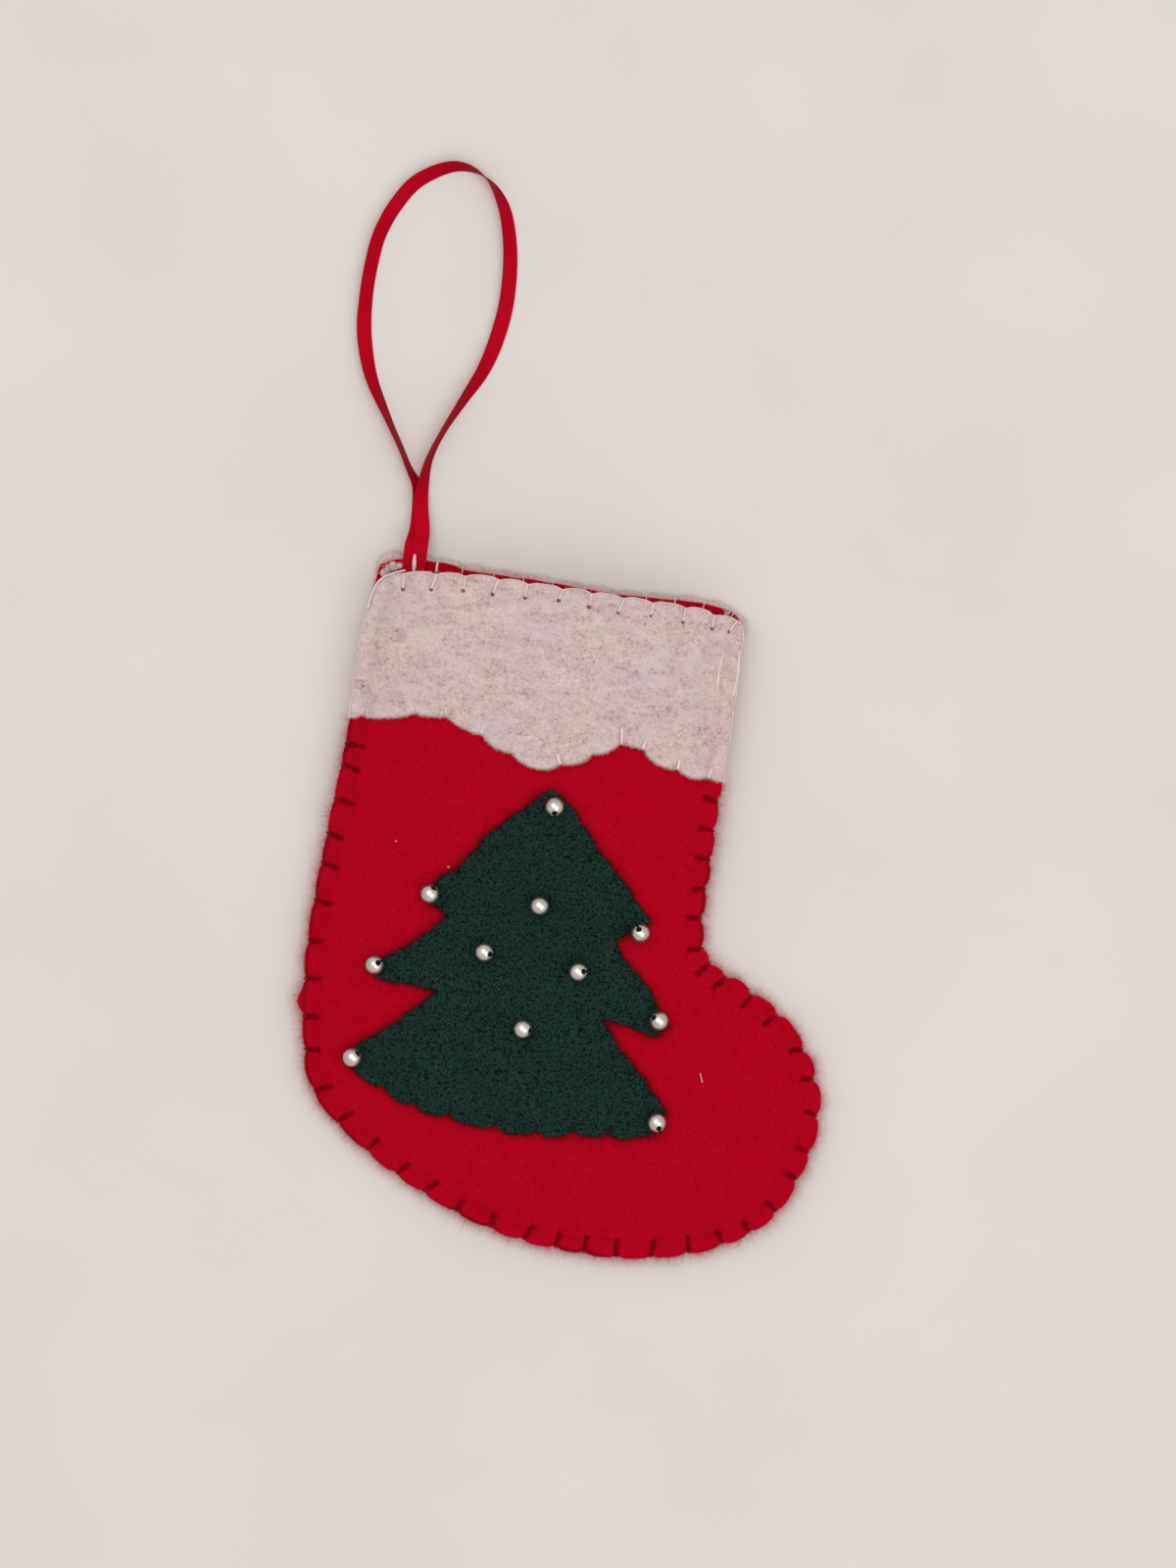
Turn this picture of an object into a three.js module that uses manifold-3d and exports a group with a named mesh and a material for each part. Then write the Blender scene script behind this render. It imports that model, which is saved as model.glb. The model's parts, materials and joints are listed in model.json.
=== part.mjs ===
// A hand-sewn felt Christmas stocking ornament with a tree, pearl beads and a satin ribbon loop.
// It lies flat on a table. Millimetres: +Z up, +Y along the leg to the mouth, +X to the toe.

import * as THREE from "three";
import { mergeVertices } from "three/addons/utils/BufferGeometryUtils.js";
import Module from "manifold-3d";

const wasm = await Module();
wasm.setup();

// Felt
const PANEL_WIDTH = 108; // heel to toe
const PANEL_HEIGHT = 134.5; // sole to the mouth of the front
const FELT = 1.2; // thickness of every felt
const LAYER_GAP = 0.3; // between felts that lie on each other
const SEAM_GAP = 0.4; // between the panels where they are sewn
const CROWN = 6.5; // how far the front stands off the back
const CROWN_RUN = 25; // from the seam to where the front is at its full height
const EDGE_LIFT = 0.9; // how far the sewn edge turns up off the table
const EDGE_RUN = 12; // from the edge to where the back lies flat
const CUFF_LIFT = 0.65; // the back cuff rides on its own stitches
const STEP_RUN = 14; // the back panel comes down to the table over this length
const CELL = 12; // spacing of the lattice that the felts are shaped on
const SCALLOP = 0.35; // how far each stitch draws the red edge in

// Thread and its stitches
const THREAD = 0.4; // diameter
const THREAD_GAP = 0.2; // between a thread and the felt it lies on
const NEEDLE_HOLE = 1.5; // across the circle that its three corners lie on
const BITE = 2.8; // from the edge to the needle hole
const EDGE_STITCHES = 41;
const MOUTH_STITCHES = 12;
const SIDE_STITCHES = 3;
const HEM_STITCHES = 10;
const HEM_BITE = 1.8;
const TREE_BITE = 1.9;

// Tree, placed from the panel's lower left corner
const TREE_WIDTH = 65.6;
const TREE_HEIGHT = 69.9; // less where the cuff leaves less room
const TREE_LEFT = 11;
const TREE_BOTTOM = 23.2;
const TREE_CLEAR = 3.5; // between its tip and the lowest wave of the cuff, at least

// Beads
const BEAD = 4; // diameter
const BEAD_BORE = 1;
const BEAD_SEAT = 0.3; // between a bead and the felt under it
const BEAD_SIDES = 8;
const BEAD_RINGS = 4;
const BEAD_WRAP = 0.55; // from the bead's surface to the middle of its thread
const BEAD_WRAP_STEPS = 2;
const BEAD_CLEAR = 3.2; // no tree stitch starts nearer than this to a bead

// Ribbon
const RIBBON_WIDTH = 3.2;
const RIBBON = 0.4; // thickness
const RIBBON_SLIT = 0.1; // between the two ends where they lie on each other
const RIBBON_REST = 0.15; // between the loop and the table
const RIBBON_STEPS = 48;
const TAIL_LENGTH = 12; // the part sewn down inside the back
const TAIL_PROUD = 0.55; // how far the ends stand past the felt
const HINGE_OUT = 1.3; // from the felt's edge to the line that the loop swings about
const TACK_LENGTH = 3; // between the two needle holes of the tack
const TACK_IN = 2.5; // from the felt's edge to the nearer one

// Shares of the panel's width and height. The seam runs from the hem at the heel side, round heel,
// sole, toe and instep, to the hem at the toe side.
const seam_share = [
  [0.025, 0.76],
  [0.016, 0.64],
  [0.003, 0.5],
  [0.001, 0.38],
  [0.012, 0.27],
  [0.045, 0.195],
  [0.12, 0.135],
  [0.23, 0.08],
  [0.37, 0.03],
  [0.52, 0.004],
  [0.68, 0.003],
  [0.82, 0.03],
  [0.93, 0.085],
  [0.985, 0.175],
  [1.0, 0.26],
  [0.975, 0.33],
  [0.915, 0.393],
  [0.83, 0.435],
  [0.765, 0.462],
  [0.737, 0.51],
  [0.735, 0.62],
  [0.736, 0.737],
];
const heel_side_share = [
  [0.046, 0.968],
  [0.026, 0.88],
  [0.025, 0.76],
];
const toe_side_share = [
  [0.736, 0.737],
  [0.739, 0.86],
  [0.74, 0.966],
];
const front_mouth_share = [
  [0.715, 0.979],
  [0.64, 0.993],
  [0.4, 0.993],
  [0.18, 0.997],
  [0.075, 0.986],
];
const back_heel_corner_share = [0.045, 1.011];
const back_toe_corner_share = [0.741, 0.986];
const back_mouth_share = [
  [0.7, 0.999],
  [0.6, 1.003],
  [0.36, 1.004],
  [0.18, 1.012],
  [0.07, 1.016],
];
const hem_share = [
  [0.025, 0.76],
  [0.1, 0.77],
  [0.185, 0.779],
  [0.25, 0.766],
  [0.31, 0.742],
  [0.39, 0.72],
  [0.46, 0.738],
  [0.55, 0.773],
  [0.61, 0.753],
  [0.67, 0.74],
  [0.736, 0.737],
];

// Shares of the tree's width and height, clockwise from the top, one row of points for each edge
// that is sewn by itself. Each edge starts where the one before ends.
const tree_edges = [
  { stitches: 4, points_share: [[0.525, 1], [0.6, 0.945], [0.7, 0.831], [0.788, 0.753], [0.878, 0.654]] },
  { stitches: 1, points_share: [[0.878, 0.654], [0.825, 0.616], [0.773, 0.592]] },
  { stitches: 3, points_share: [[0.773, 0.592], [0.808, 0.544], [0.899, 0.463], [0.977, 0.363]] },
  { stitches: 1, points_share: [[0.977, 0.363], [0.94, 0.327], [0.816, 0.355], [0.767, 0.355]] },
  { stitches: 3, points_share: [[0.767, 0.355], [0.836, 0.277], [0.917, 0.206], [1, 0.115]] },
  {
    stitches: 7,
    points_share: [
      [1, 0.115], [0.969, 0.051], [0.877, 0.025], [0.761, 0.022], [0.629, 0],
      [0.499, 0.001], [0.353, 0.015], [0.228, 0.031], [0.12, 0.073], [0.024, 0.122],
    ],
  },
  { stitches: 3, points_share: [[0.024, 0.122], [0, 0.165], [0.128, 0.261], [0.259, 0.376]] },
  { stitches: 1, points_share: [[0.259, 0.376], [0.209, 0.381], [0.066, 0.392]] },
  { stitches: 2, points_share: [[0.066, 0.392], [0.035, 0.42], [0.17, 0.512], [0.259, 0.598]] },
  { stitches: 1, points_share: [[0.259, 0.598], [0.206, 0.623], [0.175, 0.648]] },
  { stitches: 4, points_share: [[0.175, 0.648], [0.214, 0.696], [0.281, 0.75], [0.347, 0.845], [0.495, 0.976], [0.525, 1]] },
];

// Each bead: its place as shares of the tree, the way its bore points round the compass from +X,
// and how far the bore is tipped up.
const beads = [
  { place_share: [0.539, 0.95], turn: -82, tip: 45 },
  { place_share: [0.193, 0.653], turn: 65, tip: 37 },
  { place_share: [0.533, 0.66], turn: -82, tip: 10 },
  { place_share: [0.852, 0.619], turn: 116, tip: 60 },
  { place_share: [0.383, 0.506], turn: -10, tip: 48 },
  { place_share: [0.052, 0.428], turn: 39, tip: 60 },
  { place_share: [0.678, 0.485], turn: 14, tip: 52 },
  { place_share: [0.945, 0.374], turn: 152, tip: 42 },
  { place_share: [0.531, 0.3], turn: -6, tip: 32 },
  { place_share: [0.02, 0.153], turn: 44, tip: 36 },
  { place_share: [0.979, 0.082], turn: -62, tip: 50 },
];

// The ribbon's middle line from the heel side of the stem, up the left leg, over the top and down
// the right leg, as [x, y, lift off the table, lean of the ribbon's width from flat in degrees].
// The lift is what the stem still holds of the felt's height.
const STEM_X = 11.3;
const ribbon_route = [
  [11.2, 142, 2.2, 4],
  [11, 147, 0.9, 22],
  [10, 150.9, 0.3, 46],
  [7.9, 154.1, 0, 66],
  [5.6, 158.2, 0, 72],
  [2.3, 163.6, 0, 66],
  [-2.3, 171.8, 0, 42],
  [-4.8, 180.3, 0, 26],
  [-5.4, 188.1, 0, 36],
  [-5.1, 195.4, 0, 36],
  [-4.2, 201.1, 0, 36],
  [-1.8, 207.1, 0, 32],
  [2.2, 212.7, 0, 34],
  [9.1, 216.4, 0, 54],
  [15.3, 215.2, 0, 84],
  [19.9, 209.9, 0, 128],
  [22.4, 201.7, 0, 148],
  [23.2, 192.1, 0, 156],
  [22.4, 183.9, 0, 160],
  [20.4, 176.3, 0, 144],
  [16.9, 169, 0, 119],
  [13.8, 162.5, 0, 107],
  [11.8, 156.8, 0, 112],
  [11.2, 151.4, 0.8, 138],
  [11.3, 147, 1.4, 160],
  [11.9, 142, 2.7, 174],
];

// Finishes
const red_felt = new THREE.MeshStandardMaterial({ color: 0xae001c, roughness: 0.95, metalness: 0 });
const white_felt = new THREE.MeshStandardMaterial({ color: 0xd6bfbc, roughness: 0.95, metalness: 0 });
const green_felt = new THREE.MeshStandardMaterial({ color: 0x1c3a32, roughness: 0.95, metalness: 0 });
const red_thread = new THREE.MeshStandardMaterial({ color: 0x6a0012, roughness: 0.7, metalness: 0 });
const white_thread = new THREE.MeshStandardMaterial({ color: 0xf0e6e2, roughness: 0.7, metalness: 0 });
const green_thread = new THREE.MeshStandardMaterial({ color: 0x12241f, roughness: 0.7, metalness: 0 });
const satin = new THREE.MeshStandardMaterial({ color: 0xb40020, roughness: 0.35, metalness: 0 });
const pearl = new THREE.MeshStandardMaterial({ color: 0xcfc7c2, roughness: 0.2, metalness: 0.6 });

// Solids

function solidOf(geometry) {
  const bare = geometry.index ? geometry.toNonIndexed() : geometry.clone();
  bare.deleteAttribute("normal");
  bare.deleteAttribute("uv");
  const merged = mergeVertices(bare);
  const vertProperties = new Float32Array(merged.attributes.position.array);
  const triVerts = new Uint32Array(merged.index.array);
  return new wasm.Manifold(new wasm.Mesh({ numProp: 3, vertProperties, triVerts }));
}

function meshOf(solid, name, material) {
  const { vertProperties, triVerts } = solid.getMesh();
  const geometry = new THREE.BufferGeometry();
  geometry.setAttribute("position", new THREE.BufferAttribute(vertProperties, 3));
  geometry.setIndex(new THREE.BufferAttribute(triVerts, 1));
  const mesh = new THREE.Mesh(geometry, material);
  mesh.name = name;
  return mesh;
}

const joined = (solids) => solids.reduce((whole, next) => whole.add(next));

// A closed surface from rings of points: each ring joins the next, and the ends are capped or,
// on a closed loop, joined to each other.
function loft(rings, closed) {
  const sides = rings[0].length;
  const positions = [];
  const put = (...points) => points.forEach((p) => positions.push(p.x, p.y, p.z));
  const spans = closed ? rings.length : rings.length - 1;
  for (let i = 0; i < spans; i++) {
    const here = rings[i];
    const next = rings[(i + 1) % rings.length];
    for (let k = 0; k < sides; k++) {
      const l = (k + 1) % sides;
      put(here[k], here[l], next[l]);
      put(here[k], next[l], next[k]);
    }
  }
  if (!closed) {
    const first = rings[0];
    const last = rings[rings.length - 1];
    for (let k = 1; k < sides - 1; k++) {
      put(first[0], first[k + 1], first[k]);
      put(last[0], last[k], last[k + 1]);
    }
  }
  const geometry = new THREE.BufferGeometry();
  geometry.setAttribute("position", new THREE.Float32BufferAttribute(positions, 3));
  return geometry;
}

// A thread of square section along straight runs, mitred where they meet. The run that it starts
// from, on a closed one the last, isn't upright.
function threadAlong(route, closed) {
  const sides = 4;
  const up = new THREE.Vector3(0, 0, 1);
  const runs = [];
  const last = closed ? route.length : route.length - 1;
  for (let i = 0; i < last; i++) {
    runs.push(route[(i + 1) % route.length].clone().sub(route[i]).normalize());
  }
  const start = closed ? runs[runs.length - 1] : runs[0];
  let across = up.clone().addScaledVector(start, -up.dot(start)).normalize();
  let along = start;
  const rings = route.map((place, i) => {
    const after = runs[i] ?? along;
    const other = along.clone().cross(across);
    const mitre = along.clone().add(after);
    const ring = [];
    for (let k = 0; k < sides; k++) {
      const turn = ((k + 0.5) / sides) * 2 * Math.PI;
      const corner = across.clone().multiplyScalar(Math.cos(turn)).addScaledVector(other, Math.sin(turn));
      corner.multiplyScalar(THREAD / 2);
      const slide = -corner.dot(mitre) / along.dot(mitre);
      ring.push(place.clone().add(corner).addScaledVector(along, slide));
    }
    const bend = new THREE.Quaternion().setFromUnitVectors(along, after);
    across = across.clone().applyQuaternion(bend);
    along = after;
    return ring;
  });
  return solidOf(loft(rings, closed));
}

// Outlines

const onPanel = ([across, upward]) => new THREE.Vector2(across * PANEL_WIDTH, upward * PANEL_HEIGHT);
const curveOf = (points) => new THREE.SplineCurve(points);

// A place on a curve that has the piece on its left, with the way into the piece.
function placeOn(curve, share) {
  const edge = curve.getPointAt(share);
  const ahead = curve.getTangentAt(share);
  return { edge, inward: new THREE.Vector2(-ahead.y, ahead.x) };
}

const stitchesOn = (curve, count) =>
  Array.from({ length: count }, (_, i) => placeOn(curve, (i + 0.5) / count));

const moved = ({ edge, inward }, by) => edge.clone().addScaledVector(inward, by);

const seam = curveOf(seam_share.map(onPanel));
const hem = curveOf(hem_share.map(onPanel));
const heel_side = curveOf(heel_side_share.map(onPanel));
const toe_side = curveOf(toe_side_share.map(onPanel));
const back_heel_corner = onPanel(back_heel_corner_share);
const back_toe_corner = onPanel(back_toe_corner_share);

// The red edge: drawn in at each stitch, full between two stitches.
const seam_stitches = stitchesOn(seam, EDGE_STITCHES).map(({ edge, inward }) => ({
  edge: edge.clone().addScaledVector(inward, SCALLOP),
  inward,
}));
const seam_bulges = Array.from({ length: EDGE_STITCHES - 1 }, (_, i) => placeOn(seam, (i + 1) / EDGE_STITCHES));
const seam_edge = seam_stitches.flatMap((stitch, i) => (seam_bulges[i] ? [stitch, seam_bulges[i]] : [stitch]));

const SIDE_POINTS = 4;
const MOUTH_POINTS = 9;
const heel_points = heel_side.getPoints(SIDE_POINTS);
const toe_points = toe_side.getPoints(SIDE_POINTS);
const front_mouth = curveOf([toe_points.at(-1), ...front_mouth_share.map(onPanel), heel_points[0]]);
const back_mouth = curveOf([back_toe_corner, ...back_mouth_share.map(onPanel), back_heel_corner]);

const inner = (points) => points.slice(1, -1);
// The hem curve has the cuff on its left as well. Every other of its corners is a stitch.
const hem_edge = Array.from({ length: 2 * HEM_STITCHES - 1 }, (_, i) => placeOn(hem, (i + 1) / (2 * HEM_STITCHES)));
const hem_stitches = hem_edge.filter((_, i) => i % 2 === 0);
const front_outline = [
  ...heel_points,
  ...seam_edge.map(({ edge }) => edge),
  ...toe_points,
  ...inner(front_mouth.getPoints(MOUTH_POINTS)),
];
const back_outline = [
  back_heel_corner,
  ...heel_points.slice(1),
  ...seam_edge.map(({ edge }) => edge),
  ...toe_points.slice(0, -1),
  back_toe_corner,
  ...inner(back_mouth.getPoints(MOUTH_POINTS)),
];
const hem_points = hem_edge.map(({ edge }) => edge);
const hem_low = Math.min(...hem_points.map((p) => p.y));
const front_cuff_outline = [
  ...heel_points,
  ...hem_points,
  ...toe_points,
  ...inner(front_mouth.getPoints(MOUTH_POINTS)),
];
const back_cuff_outline = [
  back_heel_corner,
  ...heel_points.slice(1),
  ...hem_points,
  ...toe_points.slice(0, -1),
  back_toe_corner,
  ...inner(back_mouth.getPoints(MOUTH_POINTS)),
];

// The tree is lower where the cuff leaves it less room
const tree_height = Math.min(TREE_HEIGHT, hem_low - TREE_CLEAR - TREE_BOTTOM);
const onTree = ([across, upward]) =>
  new THREE.Vector2(TREE_LEFT + across * TREE_WIDTH, TREE_BOTTOM + upward * tree_height);
const tree_outline = tree_edges.flatMap(({ points_share }) => points_share.slice(1).map(onTree));

// The surfaces of the pouch, held as heights on one lattice so that every layer follows the next

const SIDE_TALL = PANEL_HEIGHT; // the pouch is taken to run on past its mouth by this much
const beyond = new THREE.Vector2(0, SIDE_TALL);
const pouch_line = [
  heel_points[0].clone().add(beyond),
  ...heel_points,
  ...inner(seam.getPoints(EDGE_STITCHES)),
  ...toe_points,
  toe_points.at(-1).clone().add(beyond),
];

// How far a place lies inside a line, less than zero outside it.
function depthIn(line, place) {
  let nearest = Infinity;
  let inside = false;
  line.forEach((b, i) => {
    const a = line[(i + line.length - 1) % line.length];
    const run = b.clone().sub(a);
    const share = THREE.MathUtils.clamp(place.clone().sub(a).dot(run) / run.lengthSq(), 0, 1);
    nearest = Math.min(nearest, place.distanceTo(a.clone().addScaledVector(run, share)));
    const crosses = a.y > place.y !== b.y > place.y;
    if (crosses && place.x < a.x + ((place.y - a.y) / run.y) * run.x) inside = !inside;
  });
  return inside ? nearest : -nearest;
}

function crownAt(depth) {
  const share = Math.min(depth / CROWN_RUN, 1);
  return CROWN * (1 - (1 - share) ** 2);
}

const columns = Math.ceil(PANEL_WIDTH / CELL) + 2;
const rows = Math.ceil(PANEL_HEIGHT / CELL) + 3;
const lattice = Array.from({ length: columns + 1 }, (_, i) =>
  Array.from({ length: rows + 1 }, (_, j) => {
    const place = new THREE.Vector2((i - 1) * CELL, (j - 1) * CELL);
    const lift = EDGE_LIFT * Math.max(0, 1 - depthIn(back_outline, place) / EDGE_RUN);
    const over_cuff = THREE.MathUtils.clamp(1 + (place.y - hem_low + CELL) / STEP_RUN, 0, 1);
    const depth = depthIn(pouch_line, place);
    const crown = depth < 0 ? (depth / CELL) * crownAt(CELL) : crownAt(depth);
    return { place, lift: Math.max(lift, over_cuff * CUFF_LIFT), over_cuff, crown };
  }),
);

const backCuffBottom = (node) => node.lift;
const backCuffTop = (node) => backCuffBottom(node) + FELT;
const backBottom = (node) => node.lift + node.over_cuff * (FELT + LAYER_GAP);
const backTop = (node) => backBottom(node) + FELT;
const tailBottom = (node) => backTop(node) + LAYER_GAP;
const tailTop = (node) => tailBottom(node) + 2 * RIBBON + RIBBON_SLIT;
const frontBottom = (node) => backTop(node) + SEAM_GAP + node.crown;
const frontTop = (node) => frontBottom(node) + FELT;
const trimBottom = (node) => frontTop(node) + LAYER_GAP;
const trimTop = (node) => trimBottom(node) + FELT;

// The height of a surface over any place, on the same facets as its solid.
function heightAt(surface, place) {
  const i = Math.floor(place.x / CELL) + 1;
  const j = Math.floor(place.y / CELL) + 1;
  const across = place.x / CELL + 1 - i;
  const upward = place.y / CELL + 1 - j;
  const near = surface(lattice[i][j]);
  const far = surface(lattice[i + 1][j + 1]);
  if (across >= upward) {
    const corner = surface(lattice[i + 1][j]);
    return near + across * (corner - near) + upward * (far - corner);
  }
  const corner = surface(lattice[i][j + 1]);
  return near + upward * (corner - near) + across * (far - corner);
}

const at = (place, height) => new THREE.Vector3(place.x, place.y, height);

// The block between two surfaces over the whole lattice.
function blockBetween(bottom, top) {
  const positions = [];
  const put = (...points) => points.forEach((p) => positions.push(p.x, p.y, p.z));
  const high = (i, j) => at(lattice[i][j].place, top(lattice[i][j]));
  const low = (i, j) => at(lattice[i][j].place, bottom(lattice[i][j]));
  for (let i = 0; i < columns; i++) {
    for (let j = 0; j < rows; j++) {
      put(high(i, j), high(i + 1, j), high(i + 1, j + 1));
      put(high(i, j), high(i + 1, j + 1), high(i, j + 1));
      put(low(i, j), low(i + 1, j + 1), low(i + 1, j));
      put(low(i, j), low(i, j + 1), low(i + 1, j + 1));
    }
  }
  const wall = (i, j, k, l) => {
    put(low(i, j), low(k, l), high(k, l));
    put(low(i, j), high(k, l), high(i, j));
  };
  for (let i = 0; i < columns; i++) {
    wall(i, 0, i + 1, 0);
    wall(i + 1, rows, i, rows);
  }
  for (let j = 0; j < rows; j++) {
    wall(columns, j, columns, j + 1);
    wall(0, j + 1, 0, j);
  }
  const geometry = new THREE.BufferGeometry();
  geometry.setAttribute("position", new THREE.Float32BufferAttribute(positions, 3));
  return solidOf(geometry);
}

const CUTTER_LENGTH = PANEL_HEIGHT;

function prismOf(outline) {
  const geometry = new THREE.ExtrudeGeometry(new THREE.Shape(outline), {
    depth: 2 * CUTTER_LENGTH,
    bevelEnabled: false,
  });
  return solidOf(geometry.translate(0, 0, -CUTTER_LENGTH));
}

function needleHole(place) {
  const sides = 3;
  const radius = NEEDLE_HOLE / 2;
  const geometry = new THREE.CylinderGeometry(radius, radius, 2 * CUTTER_LENGTH, sides);
  geometry.rotateX(Math.PI / 2);
  return solidOf(geometry.translate(place.x, place.y, 0));
}

// A felt piece: the layer between two surfaces, cut to its outline and pierced by the needle.
function feltPiece(outline, bottom, top, holes) {
  const cut = blockBetween(bottom, top).intersect(prismOf(outline));
  return holes.length ? cut.subtract(joined(holes.map(needleHole))) : cut;
}

// Stitching

const LIE = THREAD / 2 + THREAD_GAP; // from a felt's face to the middle of a thread on it

// Blanket stitch round an edge, all of one unbroken thread: at each stitch it goes over the top and
// down through its needle hole, comes back under the layers, and runs along the edge to the next.
function wrappedStitching(stitches, between, bottom, top, bite) {
  const route = stitches.flatMap((stitch, i) => {
    const out = moved(stitch, -LIE);
    const hole = moved(stitch, bite);
    const wrap = [
      at(out, heightAt(top, out) + LIE),
      at(hole, heightAt(top, hole) + LIE),
      at(hole, heightAt(bottom, hole) - LIE),
      at(out, heightAt(bottom, out) - LIE),
    ];
    if (!between[i]) return wrap;
    const beside = moved(between[i], -LIE);
    return [...wrap, at(beside, (heightAt(bottom, beside) + heightAt(top, beside)) / 2)];
  });
  return threadAlong(route, false);
}

// Blanket stitch that sews a trim to the front: one thread runs along the trim's edge, and each
// stitch goes over the edge, down its needle hole and back under the front.
function appliedStitching(stitches, edge, bite) {
  const loops = stitches.map((stitch) => {
    const out = moved(stitch, -LIE);
    const hole = moved(stitch, bite);
    return threadAlong(
      [
        at(out, heightAt(frontBottom, out) - LIE),
        at(hole, heightAt(frontBottom, hole) - LIE),
        at(hole, heightAt(trimTop, hole) + LIE),
        at(out, heightAt(trimTop, out) + LIE),
        at(out, heightAt(trimBottom, out) + LIE),
      ],
      false,
    );
  });
  const route = edge.map((stitch) => {
    const out = moved(stitch, -LIE);
    return at(out, heightAt(trimBottom, out) + LIE);
  });
  return joined([threadAlong(route, false), ...loops]);
}

const holesOf = (stitches, bite) => stitches.map((stitch) => moved(stitch, bite));

const bead_places = beads.map(({ place_share }) => onTree(place_share));
const farFromBeads = ({ edge }) => bead_places.every((bead) => bead.distanceTo(edge) > BEAD_CLEAR);
const awayFromRibbon = ({ edge }) => Math.abs(edge.x - STEM_X) > RIBBON_WIDTH;

const front_mouth_stitches = stitchesOn(front_mouth, MOUTH_STITCHES);
const back_mouth_stitches = stitchesOn(back_mouth, MOUTH_STITCHES).filter(awayFromRibbon);
const heel_stitches = stitchesOn(heel_side, SIDE_STITCHES);
const toe_stitches = stitchesOn(toe_side, SIDE_STITCHES);

// The corners of the tree. Where the edge thread turns round one, it keeps clear of both edges.
function treeCorner(corner) {
  const i = tree_outline.findIndex((other) => other.equals(corner));
  const before = tree_outline.at(i - 1);
  const after = tree_outline[(i + 1) % tree_outline.length];
  const into = corner.clone().sub(before).normalize();
  const out = after.clone().sub(corner).normalize();
  const inward = new THREE.Vector2(into.y + out.y, -into.x - out.x);
  return { edge: corner, inward: inward.multiplyScalar(2 / inward.lengthSq()) };
}

// One edge of the tree: its corners and its stitches in the order in which the thread meets them.
function sewnEdge({ points_share, stitches }) {
  const corners = points_share.map(onTree);
  const runs = corners.slice(1).map((corner, i) => ({ from: corners[i], to: corner, long: corner.distanceTo(corners[i]) }));
  const whole = runs.reduce((sum, { long }) => sum + long, 0);
  let passed = 0;
  return runs.flatMap(({ from, to, long }) => {
    const ahead = to.clone().sub(from).normalize();
    const inward = new THREE.Vector2(ahead.y, -ahead.x);
    const met = Array.from({ length: stitches }, (_, i) => ((i + 0.5) / stitches) * whole - passed)
      .filter((along) => along > 0 && along <= long)
      .map((along) => ({ edge: from.clone().addScaledVector(ahead, along), inward, sewn: true }))
      .filter(farFromBeads);
    passed += long;
    return [...met, treeCorner(to)];
  });
}
const tree_edge = tree_edges.flatMap(sewnEdge);
const tree_stitches = tree_edge.filter(({ sewn }) => sewn);

// Ribbon

const ribbon_edge = placeOn(back_mouth, 1 - (STEM_X - back_heel_corner.x) / (back_toe_corner.x - back_heel_corner.x));
const hinge_place = new THREE.Vector2(STEM_X, ribbon_edge.edge.y + HINGE_OUT);
const hinge_height =
  (heightAt(tailBottom, ribbon_edge.edge) + heightAt(tailTop, ribbon_edge.edge)) / 2;

const tail_low = ribbon_edge.edge.y - TAIL_LENGTH;
const tail_high = ribbon_edge.edge.y + TAIL_PROUD;
const tail_outline = [
  new THREE.Vector2(STEM_X - RIBBON_WIDTH / 2, tail_low),
  new THREE.Vector2(STEM_X + RIBBON_WIDTH / 2, tail_low),
  new THREE.Vector2(STEM_X + RIBBON_WIDTH / 2, tail_high),
  new THREE.Vector2(STEM_X - RIBBON_WIDTH / 2, tail_high),
];
const tack_holes = [TACK_IN, TACK_IN + TACK_LENGTH].map(
  (back) => new THREE.Vector2(STEM_X, ribbon_edge.edge.y - back),
);

function ribbonTack() {
  const [near, far] = tack_holes;
  return threadAlong(
    [
      at(near, heightAt(tailTop, near) + LIE),
      at(near, heightAt(backCuffBottom, near) - LIE),
      at(far, heightAt(backCuffBottom, far) - LIE),
      at(far, heightAt(tailTop, far) + LIE),
    ],
    true,
  );
}

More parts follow.
